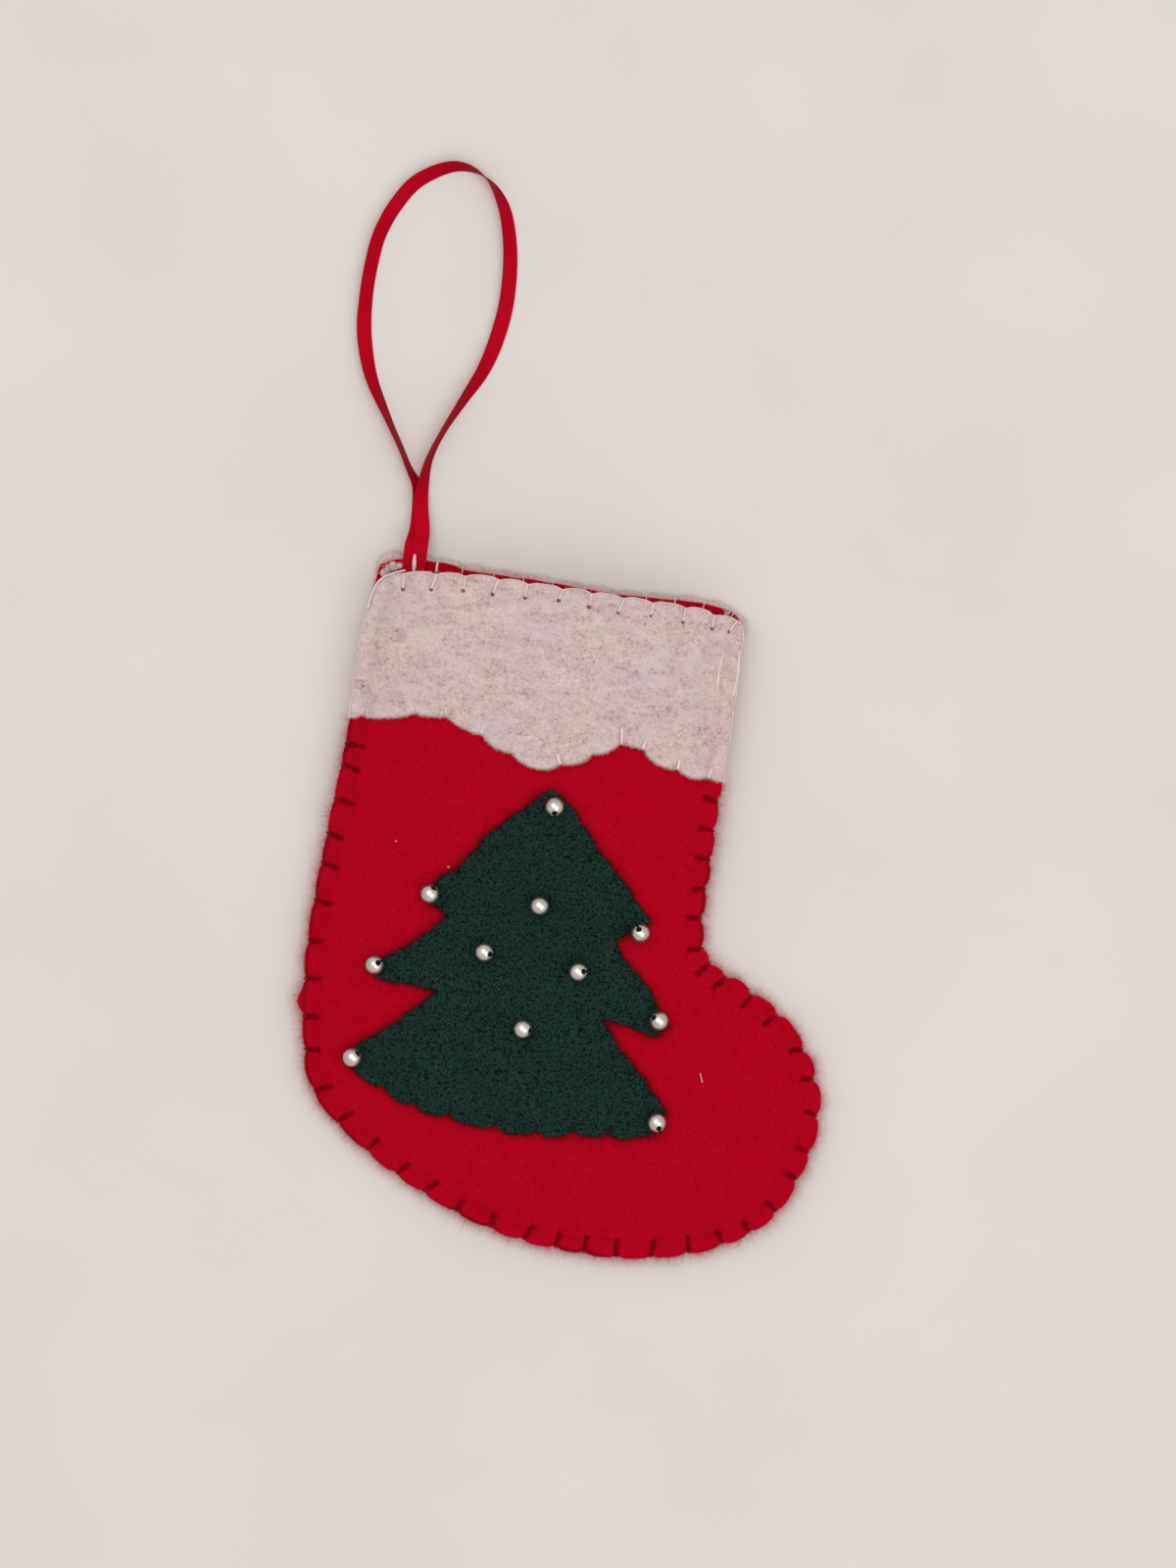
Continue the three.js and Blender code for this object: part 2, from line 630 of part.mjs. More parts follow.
// The loop is one strip: its width leans as it goes, and its two ends lie on each other in a round
// nose at the hinge.
function ribbonLoop() {
  const half = (RIBBON + RIBBON_SLIT) / 2;
  const ends = [
    [STEM_X, hinge_place.y, hinge_height - half, 0],
    [STEM_X, hinge_place.y, hinge_height + half, Math.PI],
  ];
  const rows_of = ribbon_route.map(([x, y, lift, lean]) => {
    const angle = THREE.MathUtils.degToRad(lean);
    const rise = (RIBBON_WIDTH / 2) * Math.sin(angle) + (RIBBON / 2) * Math.abs(Math.cos(angle));
    return [x, y, lift + rise + RIBBON_REST, angle];
  });
  const all = [ends[0], ...rows_of, ends[1]];
  const middle = new THREE.CatmullRomCurve3(all.map(([x, y, z]) => new THREE.Vector3(x, y, z)));
  const lean = new THREE.SplineCurve(all.map(([, , , angle], i) => new THREE.Vector2(i, angle)));
  const rings = Array.from({ length: RIBBON_STEPS + 1 }, (_, i) => {
    const share = middle.getUtoTmapping(i / RIBBON_STEPS);
    const place = middle.getPoint(share);
    const ahead = middle.getTangent(share);
    const flat = new THREE.Vector3(-ahead.y, ahead.x, 0).normalize();
    const stood = ahead.clone().cross(flat).negate();
    const angle = lean.getPoint(share).y;
    const wide = flat.clone().multiplyScalar(Math.cos(angle)).addScaledVector(stood, -Math.sin(angle));
    const thick = ahead.clone().cross(wide);
    const corner = (a, b) =>
      place.clone().addScaledVector(wide, (a * RIBBON_WIDTH) / 2).addScaledVector(thick, (b * RIBBON) / 2);
    return [corner(1, 1), corner(-1, 1), corner(-1, -1), corner(1, -1)];
  });
  const nose_sides = 12;
  const nose_radius = RIBBON + RIBBON_SLIT / 2;
  const nose = new THREE.CylinderGeometry(nose_radius, nose_radius, RIBBON_WIDTH, nose_sides);
  nose.rotateZ(Math.PI / 2);
  nose.translate(hinge_place.x, hinge_place.y, hinge_height);
  return joined([solidOf(loft(rings, false)), solidOf(nose)]);
}

// Beads

const BEAD_RADIUS = BEAD / 2;

function beadFrame({ place_share, turn, tip }) {
  const place = onTree(place_share);
  const round = THREE.MathUtils.degToRad(turn);
  const upward = THREE.MathUtils.degToRad(tip);
  const level = new THREE.Vector3(Math.cos(round), Math.sin(round), 0);
  const bore = level.clone().multiplyScalar(Math.cos(upward));
  bore.z = Math.sin(upward);
  const centre = at(place, heightAt(trimTop, place) + BEAD_SEAT + BEAD_RADIUS);
  return { centre, level, bore, upward };
}

function beadGeometry() {
  const bore = BEAD_BORE / 2;
  const lip = Math.acos(bore / BEAD_RADIUS);
  const profile = Array.from({ length: BEAD_RINGS + 1 }, (_, i) => {
    const angle = THREE.MathUtils.lerp(-lip, lip, i / BEAD_RINGS);
    return new THREE.Vector2(BEAD_RADIUS * Math.cos(angle), BEAD_RADIUS * Math.sin(angle));
  });
  return new THREE.LatheGeometry([...profile, profile[0].clone()], BEAD_SIDES);
}

// The thread comes up through the felts at the bead's low side, runs through the bore, wraps down
// the high side and goes back under the front.
function beadThreadRoute(bead) {
  const { centre, level, bore, upward } = beadFrame(bead);
  const reach = BEAD_RADIUS + BEAD_WRAP;
  const low = centre.clone().addScaledVector(bore, -reach);
  const end = -Math.PI / 4;
  const wrap = Array.from({ length: BEAD_WRAP_STEPS + 1 }, (_, i) => {
    const angle = THREE.MathUtils.lerp(upward, end, i / BEAD_WRAP_STEPS);
    const place = centre.clone().addScaledVector(level, reach * Math.cos(angle));
    place.z += reach * Math.sin(angle);
    return place;
  });
  return { low, wrap };
}

function beadThread(bead) {
  const { low, wrap } = beadThreadRoute(bead);
  const below = (place) => at(place, heightAt(frontBottom, place) - LIE);
  return threadAlong([below(low), low, ...wrap, below(wrap.at(-1))], true);
}

const bead_holes = beads.flatMap((bead) => {
  const { low, wrap } = beadThreadRoute(bead);
  return [low, wrap.at(-1)];
});

// The pieces

const seam_holes = holesOf(seam_stitches, BITE - SCALLOP);
const side_holes = holesOf([...heel_stitches, ...toe_stitches], BITE);
const front_mouth_holes = holesOf(front_mouth_stitches, BITE);
const back_mouth_holes = holesOf(back_mouth_stitches, BITE);
const hem_holes = holesOf(hem_stitches, HEM_BITE);
const tree_holes = holesOf(tree_stitches, TREE_BITE);

const pieces = new THREE.Group();
const add = (solid, name, material) => pieces.add(meshOf(solid, name, material));

add(
  feltPiece(back_cuff_outline, backCuffBottom, backCuffTop, [...side_holes, ...back_mouth_holes, ...tack_holes]),
  "back_cuff",
  white_felt,
);
add(
  feltPiece(back_outline, backBottom, backTop, [
    ...seam_holes,
    ...side_holes,
    ...back_mouth_holes,
    ...tack_holes,
  ]),
  "back_panel",
  red_felt,
);
add(
  feltPiece(front_outline, frontBottom, frontTop, [
    ...seam_holes,
    ...side_holes,
    ...front_mouth_holes,
    ...hem_holes,
    ...tree_holes,
    ...bead_holes,
  ]),
  "front_panel",
  red_felt,
);
add(
  feltPiece(front_cuff_outline, trimBottom, trimTop, [...side_holes, ...front_mouth_holes, ...hem_holes]),
  "front_cuff",
  white_felt,
);
add(feltPiece(tree_outline, trimBottom, trimTop, [...tree_holes, ...bead_holes]), "tree_applique", green_felt);
add(feltPiece(tail_outline, tailBottom, tailTop, tack_holes), "ribbon_tails", satin);
add(
  wrappedStitching(seam_stitches, seam_bulges, backBottom, frontTop, BITE - SCALLOP),
  "edge_stitching",
  red_thread,
);
add(wrappedStitching(front_mouth_stitches, [], frontBottom, trimTop, BITE), "front_mouth_stitching", white_thread);
add(wrappedStitching(back_mouth_stitches, [], backCuffBottom, backTop, BITE), "back_mouth_stitching", white_thread);
add(wrappedStitching(heel_stitches, [], backCuffBottom, trimTop, BITE), "cuff_heel_stitching", white_thread);
add(wrappedStitching(toe_stitches, [], backCuffBottom, trimTop, BITE), "cuff_toe_stitching", white_thread);
add(appliedStitching(hem_stitches, hem_edge, HEM_BITE), "front_hem_stitching", white_thread);
add(appliedStitching(tree_stitches, tree_edge, TREE_BITE), "tree_stitching", green_thread);
add(ribbonTack(), "ribbon_tack", white_thread);
add(ribbonLoop(), "ribbon_loop", satin);

beads.forEach((bead, i) => {
  const number = String(i + 1).padStart(2, "0");
  const { centre, bore } = beadFrame(bead);
  const mesh = new THREE.Mesh(beadGeometry(), pearl);
  mesh.name = `bead_${number}`;
  mesh.position.copy(centre);
  mesh.quaternion.setFromUnitVectors(new THREE.Vector3(0, 1, 0), bore);
  pieces.add(mesh);
  add(beadThread(bead), `bead_thread_${number}`, green_thread);
});

// The part's origin is under the middle of the stocking, the ribbon loop left out of the measure.
const measured = new THREE.Box3();
pieces.children.filter(({ name }) => name !== "ribbon_loop").forEach((mesh) => measured.expandByObject(mesh));
const middle = measured.getCenter(new THREE.Vector3());
pieces.position.set(-middle.x, -middle.y, -measured.min.z);

const stocking = new THREE.Group();
stocking.add(pieces);

export default stocking;
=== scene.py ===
"""A hand-sewn felt Christmas stocking ornament: felts, blanket stitching, pearls and a ribbon loop."""

import json
import math
import random
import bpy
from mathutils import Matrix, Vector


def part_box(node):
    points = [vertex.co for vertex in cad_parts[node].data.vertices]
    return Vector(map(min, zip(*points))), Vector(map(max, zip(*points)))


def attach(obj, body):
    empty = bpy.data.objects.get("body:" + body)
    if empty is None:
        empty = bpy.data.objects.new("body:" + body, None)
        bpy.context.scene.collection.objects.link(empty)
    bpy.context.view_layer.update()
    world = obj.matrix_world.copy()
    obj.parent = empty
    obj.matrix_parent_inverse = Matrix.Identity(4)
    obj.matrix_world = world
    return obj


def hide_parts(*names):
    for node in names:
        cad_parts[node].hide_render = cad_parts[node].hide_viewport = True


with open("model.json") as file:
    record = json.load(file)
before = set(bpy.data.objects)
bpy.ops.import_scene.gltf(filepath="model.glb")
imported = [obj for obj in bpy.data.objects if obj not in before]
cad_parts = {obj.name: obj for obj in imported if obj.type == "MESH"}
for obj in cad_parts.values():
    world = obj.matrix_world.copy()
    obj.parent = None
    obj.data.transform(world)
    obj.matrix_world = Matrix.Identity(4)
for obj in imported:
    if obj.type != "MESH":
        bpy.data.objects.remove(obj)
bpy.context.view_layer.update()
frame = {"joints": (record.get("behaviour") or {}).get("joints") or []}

from types import SimpleNamespace

import bmesh
import bpy
import numpy as np
from mathutils import Matrix, Vector, noise

bl_info = {
    "name": "Felt Christmas Stocking",
    "version": (1, 0, 0),
    "blender": (4, 5, 0),
    "location": "3D View > Sidebar > Stocking",
    "description": "Builds a hand-sewn felt stocking ornament with beads and a ribbon loop",
    "category": "Add Mesh",
}

MM = 0.001

# Shares of the stocking's width and height, from the lower left corner of its front.
SEAM_SHARES = (
    (0.025, 0.76), (0.016, 0.64), (0.003, 0.5), (0.001, 0.38), (0.0155, 0.27), (0.045, 0.195),
    (0.12, 0.135), (0.23, 0.08), (0.37, 0.03), (0.52, 0.004), (0.68, 0.003), (0.82, 0.03),
    (0.93, 0.085), (0.985, 0.175), (1.0, 0.26), (0.975, 0.33), (0.915, 0.393), (0.83, 0.435),
    (0.765, 0.462), (0.737, 0.51), (0.735, 0.62), (0.736, 0.737),
)
HEEL_SIDE_SHARES = ((0.042, 0.96), (0.026, 0.88), (0.025, 0.76))
TOE_SIDE_SHARES = ((0.736, 0.737), (0.739, 0.86), (0.738, 0.958))
FRONT_MOUTH_SHARES = (
    (0.738, 0.958), (0.734, 0.973), (0.722, 0.981), (0.69, 0.9845), (0.64, 0.99), (0.53, 0.992),
    (0.4, 0.994), (0.25, 0.9955), (0.185, 0.9935), (0.12, 0.9895), (0.08, 0.983), (0.055, 0.973),
    (0.042, 0.96),
)
BACK_MOUTH_SHARES = (
    (0.734, 0.975), (0.722, 0.9885), (0.7, 0.9955), (0.65, 1.001), (0.56, 0.999), (0.47, 0.998),
    (0.36, 1.002), (0.21, 1.004), (0.18, 1.009), (0.12, 1.01), (0.07, 1.006), (0.043, 0.995),
)
BACK_CUFF_MOUTH_SHARES = (
    (0.743, 0.986), (0.7, 1.002), (0.65, 1.008), (0.56, 1.006), (0.47, 1.005), (0.36, 1.009),
    (0.18, 1.014), (0.1, 1.0175), (0.055, 1.014), (0.037, 0.998),
)
HEM_SHARES = (
    (0.025, 0.76), (0.1, 0.77), (0.185, 0.779), (0.25, 0.766), (0.31, 0.744), (0.39, 0.7225),
    (0.46, 0.738), (0.55, 0.773), (0.61, 0.753), (0.67, 0.74), (0.736, 0.737),
)

# Stitches, as (share of the edge's length, reach in from the edge, slide along it), in millimetres.
SEAM_STITCHES = (
    (0.019, 3.7, 0.0), (0.034, 3.8, 0.8), (0.059, 4.0, 0.5), (0.084, 3.3, 0.4), (0.105, 3.6, 0.8),
    (0.133, 3.3, 0.5), (0.163, 2.9, -0.1), (0.189, 3.2, -0.1), (0.216, 3.4, 0.1), (0.241, 3.2, 0.6),
    (0.271, 3.6, 0.5), (0.3, 3.7, 0.9), (0.329, 3.5, 0.5), (0.355, 3.0, 0.9), (0.379, 3.3, 1.4),
    (0.407, 2.7, 0.2), (0.434, 3.2, -0.4), (0.458, 3.4, 1.1), (0.482, 3.5, 0.3), (0.503, 3.8, 0.2),
    (0.527, 3.7, 0.2), (0.552, 3.8, 0.9), (0.578, 3.4, 0.4), (0.604, 3.2, -0.3), (0.626, 2.8, 0.0),
    (0.65, 3.0, 0.0), (0.677, 2.8, 0.1), (0.699, 3.3, 0.3), (0.726, 3.0, 1.0), (0.753, 3.0, 0.6),
    (0.776, 2.9, 0.8), (0.808, 3.8, 0.7), (0.832, 3.8, 0.3), (0.854, 4.0, 1.1), (0.869, 4.0, -0.5),
    (0.881, 3.6, 0.6), (0.901, 3.3, 0.0), (0.923, 2.7, -0.3), (0.943, 3.2, 0.3), (0.965, 3.2, 0.2),
    (0.986, 3.3, 0.5),
)
FRONT_MOUTH_STITCHES = (
    (0.045, 2.8, 0.4), (0.109, 3.0, -0.4), (0.184, 3.2, 0.1), (0.269, 2.9, 0.2), (0.346, 3.3, 0.8),
    (0.427, 3.0, 0.2), (0.504, 2.6, 0.5), (0.592, 3.1, 0.1), (0.668, 3.3, 0.7), (0.758, 3.2, 0.3),
    (0.833, 3.4, 0.9), (0.916, 3.2, 0.6),
)
HEM_STITCHES = (
    (0.03, 2.4, 0.6), (0.164, 2.4, -1.0), (0.246, 2.4, -1.0), (0.344, 2.4, -0.8), (0.43, 2.0, 0.3),
    (0.565, 2.4, -0.1), (0.648, 2.0, -0.9), (0.724, 3.4, 0.6), (0.781, 2.0, -0.4), (0.882, 2.2, -0.3),
    (0.962, 2.1, 0.4),
)
SIDE_STITCHES = ((0.17, 2.8, 0.2), (0.5, 2.6, -0.2), (0.83, 2.9, 0.1))
# The back is not seen, so its mouth gets even stitches.
BACK_MOUTH_STITCHES = tuple((0.04 + 0.08 * i, 2.8, 0.1 * (i % 3)) for i in range(11))

# These stitches of the seam are drawn deeper into the felt than the others.
SEAM_STITCHES_FAINT = (1, 6, 12, 24, 26, 27, 28, 33)
# Where the thread that runs along the seam lies on top of its edge, from share to share.
SEAM_RUN_SHOWN = ((0.0, 0.04), (0.08, 0.33), (0.4, 0.44), (0.48, 0.52), (0.88, 0.95))
# The felt that a slack stitch lets out: share of the seam, reach and half its length.
HEEL_BULGES = ((0.206, 1.0, 2.0),)
# These stitches of the hem lie on the felt, and the others are sunk in it.
HEM_STITCHES_SHOWN = (5, 7, 8, 9, 10)

# Thin threads on the front cuff: round its corner at the heel, and two runs at its toe side.
CORNER_THREAD_SHARES = ((0.032, 0.925), (0.035, 0.945), (0.043, 0.966), (0.06, 0.98), (0.092, 0.9905))
TOE_RUN_SHARES = (
    ((0.704, 0.868), (0.7025, 0.9), (0.706, 0.932)),
    ((0.7355, 0.865), (0.7375, 0.9), (0.735, 0.94)),
)
LINT_SHARES = (
    ((0.7655, 0.2965), (0.7685, 0.29), (0.772, 0.283)),
    ((0.2438, 0.555), (0.2468, 0.556), (0.2478, 0.554)),
    ((0.1407, 0.584), (0.1427, 0.5835), (0.1437, 0.5845)),
)
# The tufts of matted fibre at the mouth's ends: name, middle line, spread in millimetres, fibres.
TUFTS = (
    ("heel_tuft", ((0.051, 0.981), (0.058, 0.989), (0.066, 0.9945), (0.077, 0.996)), 0.8, 60),
    ("toe_tuft", ((0.7, 0.984), (0.7035, 0.989), (0.705, 0.9935)), 0.4, 26),
    ("corner_tuft", ((0.728, 0.978), (0.737, 0.973), (0.743, 0.967)), 0.36, 30),
)

# The tree's edges, clockwise from the top, as shares of its width and height, each with where
# along it the stitches are, as shares of its length.
TREE_EDGES = (
    (((0.525, 1), (0.6, 0.945), (0.7, 0.831), (0.788, 0.753), (0.878, 0.654)), (0.28, 0.47, 0.66, 0.84)),
    (((0.878, 0.654), (0.825, 0.616), (0.773, 0.592)), (0.62,)),
    (((0.773, 0.592), (0.808, 0.544), (0.899, 0.463), (0.977, 0.363)), (0.2, 0.5, 0.78)),
    (((0.977, 0.363), (0.94, 0.327), (0.816, 0.355), (0.767, 0.355)), (0.55, 0.95)),
    (((0.767, 0.355), (0.836, 0.277), (0.917, 0.206), (1, 0.115)), (0.33, 0.56, 0.78)),
    (
        (
            (1, 0.115), (0.969, 0.051), (0.877, 0.025), (0.761, 0.022), (0.629, 0), (0.499, 0.001),
            (0.353, 0.015), (0.228, 0.031), (0.12, 0.073), (0.024, 0.122),
        ),
        (0.2, 0.305, 0.415, 0.535, 0.68, 0.785, 0.89),
    ),
    (((0.024, 0.122), (0, 0.165), (0.128, 0.261), (0.259, 0.376)), (0.4, 0.6, 0.82)),
    (((0.259, 0.376), (0.209, 0.381), (0.066, 0.392)), (0.12, 0.5)),
    (((0.066, 0.392), (0.035, 0.42), (0.17, 0.512), (0.259, 0.598)), (0.5, 0.8)),
    (((0.259, 0.598), (0.206, 0.623), (0.175, 0.648)), (0.4,)),
    (
        ((0.175, 0.648), (0.214, 0.696), (0.281, 0.75), (0.347, 0.845), (0.495, 0.976), (0.525, 1)),
        (0.24, 0.42, 0.6, 0.8),
    ),
)
TREE_FOOT = 5  # which of these edges is the scalloped foot
TREE_STITCH = 2.2  # how far in the tree's stitches reach

STEM_X = 11.3  # the middle of the two sewn ribbon ends
# The ribbon's middle line, in millimetres from the lower left corner of the stocking's front:
# x, y, lift off the table, and how far its width leans from flat, in degrees.
RIBBON_ROUTE = (
    (11.2, 142, 2.2, 4), (11, 147, 0.9, 22), (10, 150.9, 0.3, 51), (7.9, 154.1, 0, 69),
    (5.6, 158.2, 0, 72), (2.3, 163.6, 0, 66), (-2.3, 171.8, 0, 42), (-4.8, 180.3, 0, 26),
    (-5.4, 188.1, 0, 36), (-5.1, 195.4, 0, 36), (-4.2, 201.1, 0, 36), (-1.8, 207.1, 0, 32),
    (2.2, 212.7, 0, 34), (9.1, 216.4, 0, 54), (15.3, 215.2, 0, 92), (19.9, 209.9, 0, 134),
    (22.4, 201.7, 0, 148), (23.2, 192.1, 0, 156), (22.4, 183.9, 0, 160), (20.4, 176.3, 0, 144),
    (16.9, 169, 0, 119), (13.8, 162.5, 0, 107), (11.8, 156.8, 0, 112), (11.2, 151.4, 0.8, 132),
    (11.25, 147, 1.4, 160), (12.2, 142, 2.7, 174),
)
RIBBON_FAN = (-0.6, 1.0)  # how far the two ends are from the stem's middle where they go in
# The tacks over the ribbon's ends: x at both ends, how far below the fold they start and stop,
# the bow of each strand, and how far they stand off the back.
TACKS = ((11.45, 11.7, 0.0, 3.4, (-0.17, 0.17), 0.95), (16.2, 16.2, 0.9, 2.8, (0.0,), 0.15))


def millimetres(name, description, mm):
    """A length that a user can change, from its default in millimetres."""
    return bpy.props.FloatProperty(
        name=name, description=description, default=mm * MM, unit="LENGTH", precision=5
    )


def hex_colour(name, description, code):
    """A colour that a user can change, as an sRGB hex value."""
    return bpy.props.StringProperty(name=name, description=description, default=code)


class StockingSizes(bpy.types.PropertyGroup):
    """Sizes of the stocking."""

    width: millimetres("Width", "Heel to toe", 108)
    height: millimetres("Height", "Sole to the front's mouth", 134.5)
    tree_width: millimetres("Tree width", "Across the lowest tier", 65.6)
    tree_height: millimetres("Tree height", "Foot to tip", 69.9)
    tree_left: millimetres("Tree left", "From the heel side", 11)
    tree_low: millimetres("Tree low", "From the sole", 23.2)
    felt: millimetres("Felt", "Thickness with its nap", 1.42)
    layer: millimetres("Layer", "Height that each felt adds", 1.5)
    seam_gap: millimetres("Seam gap", "Between front and back at the seam", 0.02)
    seam_width: millimetres("Seam width", "How far in the seam is pressed flat", 1.2)
    crown: millimetres("Crown", "How far the front stands off the back", 6.5)
    crown_run: millimetres("Crown run", "From seam to full height", 25)
    edge_lift: millimetres("Edge lift", "The sewn edge off the table", 0.9)
    edge_run: millimetres("Edge run", "From the edge to the table", 12)
    cuff_lift: millimetres("Cuff lift", "The back cuff off the table", 0.65)
    mesh: millimetres("Mesh", "Spacing of the felt's mesh", 0.8)
    thread: millimetres("Thread", "Diameter of the sewing thread", 0.5)
    bead: millimetres("Bead", "Diameter of a pearl", 4)
    bore: millimetres("Bore", "Diameter of a pearl's hole", 1.1)
    ribbon_width: millimetres("Ribbon", "Width of the ribbon", 3.2)
    ribbon_thick: millimetres("Ribbon thickness", "With its selvedges", 0.3)


class StockingColours(bpy.types.PropertyGroup):
    """Colours of the stocking."""

    red_felt: hex_colour("Red felt", "Front and back", "#b4001b")
    white_felt: hex_colour("White felt", "Cuffs", "#ddc1bd")
    green_felt: hex_colour("Green felt", "Tree", "#1a2f2a")
    red_thread: hex_colour("Red thread", "Edge stitching", "#8a0016")
    white_thread: hex_colour("White thread", "Cuff stitching", "#efdcd7")
    green_thread: hex_colour("Green thread", "Tree and beads", "#141f1b")
    ribbon: hex_colour("Ribbon", "Satin", "#c60021")
    pearl: hex_colour("Pearl", "Silver lustre", "#e2dad2")
    table: hex_colour("Table", "Pale table top", "#e1dad4")


def sizes():
    """The sizes, in millimetres."""
    group = bpy.context.scene.stocking_sizes
    names = StockingSizes.__annotations__
    return SimpleNamespace(**{name: round(getattr(group, name) / MM, 4) for name in names})


def colours():
    return bpy.context.scene.stocking_colours


# Places


def table_origin():
    """The lower left corner of the front, in millimetres in the part's frame."""
    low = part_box("tree_applique")[0]
    s = sizes()
    return np.array([low.x / MM - s.tree_left, low.y / MM - s.tree_low])


def on_front(shares):
    s = sizes()
    return np.array(shares, float).reshape(-1, 2) * (s.width, s.height)


def on_tree(shares):
    s = sizes()
    size, corner = (s.tree_width, s.tree_height), (s.tree_left, s.tree_low)
    return np.array(shares, float).reshape(-1, 2) * size + corner


def smooth_line(points, per=16):
    """Points close together on a smooth line through the given ones."""
    p = np.asarray(points, float)
    before = np.vstack([p[:1], p[:-2]])
    after = np.vstack([p[2:], p[-1:]])
    here, there = p[:-1], p[1:]
    t = (np.arange(per) / per)[None, :, None]
    v0 = ((there - before) * 0.5)[:, None]
    v1 = ((after - here) * 0.5)[:, None]
    a, b = here[:, None], there[:, None]
    run = (2 * a - 2 * b + v0 + v1) * t**3 + (-3 * a + 3 * b - 2 * v0 - v1) * t**2 + v0 * t + a
    return np.vstack([run.reshape(-1, p.shape[1]), p[-1:]])


def distance_along(line):
    """How far each of the line's points is along it."""
    return np.concatenate([[0], np.cumsum(np.linalg.norm(np.diff(line, axis=0), axis=1))])


def evenly(line, step):
    """The line's points moved to even spacing, with its ends kept."""
    far = distance_along(line)
    count = max(2, int(round(far[-1] / step)))
    want = np.linspace(0, far[-1], count + 1)
    return np.stack([np.interp(want, far, line[:, k]) for k in range(line.shape[1])], axis=1)


def inward_of(line):
    """The way in from each point of a line that has the piece on its left, and the way ahead."""
    ahead = np.gradient(line, axis=0)
    ahead /= np.linalg.norm(ahead, axis=1)[:, None]
    return np.stack([-ahead[:, 1], ahead[:, 0]], axis=1), ahead


class Edge:
    """A sewn edge: its line, drawn in at each stitch, and where the stitches start and end."""

    STEP = 0.6  # from one of its points to the next, in millimetres
    NOTCH = 0.9  # half the width of the notch that a stitch draws in
    PUFF_REACH = 3.2  # from a stitch to where the felt puffs out fully
    WAVER, WAVER_LENGTH = 0.13, 3.1  # how far the cut strays, and over what length
    END_RUN = 2.0  # the ends keep their places, so that the edges meet

    def __init__(self, line, stitches, draw=0.0, puff=0.0, seed=0, left=True, bulges=()):
        line = evenly(np.asarray(line, float), self.STEP)
        inward, ahead = inward_of(line)
        if not left:
            inward = -inward
        far = distance_along(line)
        whole = far[-1]
        depth = np.zeros(len(line))
        for (share, _, _), pull in zip(stitches, np.broadcast_to(draw, (len(stitches),))):
            depth += pull * np.exp(-(((far - share * whole) / self.NOTCH) ** 2))
        if len(stitches):
            marks = np.array([stitch[0] for stitch in stitches]) * whole
            nearest = np.abs(far[:, None] - marks[None, :]).min(axis=1)
            depth -= puff * np.clip(nearest / self.PUFF_REACH, 0, 1) ** 1.2
        for share, out, wide in bulges:
            depth -= out * np.exp(-(((far - share * whole) / wide) ** 2))
        waver = [noise.noise(Vector((f / self.WAVER_LENGTH, seed * 7.3, 0.0))) * self.WAVER for f in far]
        ends = np.clip(np.minimum(far, whole - far) / self.END_RUN, 0, 1)
        self.line = line + inward * ((depth + waver) * ends)[:, None]
        self.stitches = []
        for share, reach, slide in stitches:
            i = int(round(share * (len(line) - 1)))
            self.stitches.append((self.line[i], line[i] + inward[i] * reach + ahead[i] * slide))


def joined_outline(*lines):
    """One closed outline from lines that follow each other."""
    return np.vstack([line[:-1] for line in lines])


def depth_in(outline, points, batch=4000):
    """How far each point lies inside a closed outline, less than zero outside."""
    a = outline
    b = np.roll(outline, -1, axis=0)
    run = b - a
    size = np.maximum((run**2).sum(1), 1e-12)
    out = np.empty(len(points))
    for first in range(0, len(points), batch):
        p = points[first : first + batch, None, :]
        share = np.clip(((p - a) * run).sum(2) / size, 0, 1)
        off = p - (a + share[..., None] * run)
        nearest = np.sqrt((off**2).sum(2).min(1))
        y = p[..., 1]
        crosses = (a[:, 1] > y) != (b[:, 1] > y)
        with np.errstate(divide="ignore", invalid="ignore"):
            at = a[:, 0] + (y - a[:, 1]) / run[:, 1] * run[:, 0]
        inside = (crosses & (p[..., 0] < at)).sum(1) % 2 == 1
        out[first : first + batch] = np.where(inside, nearest, -nearest)
    return out


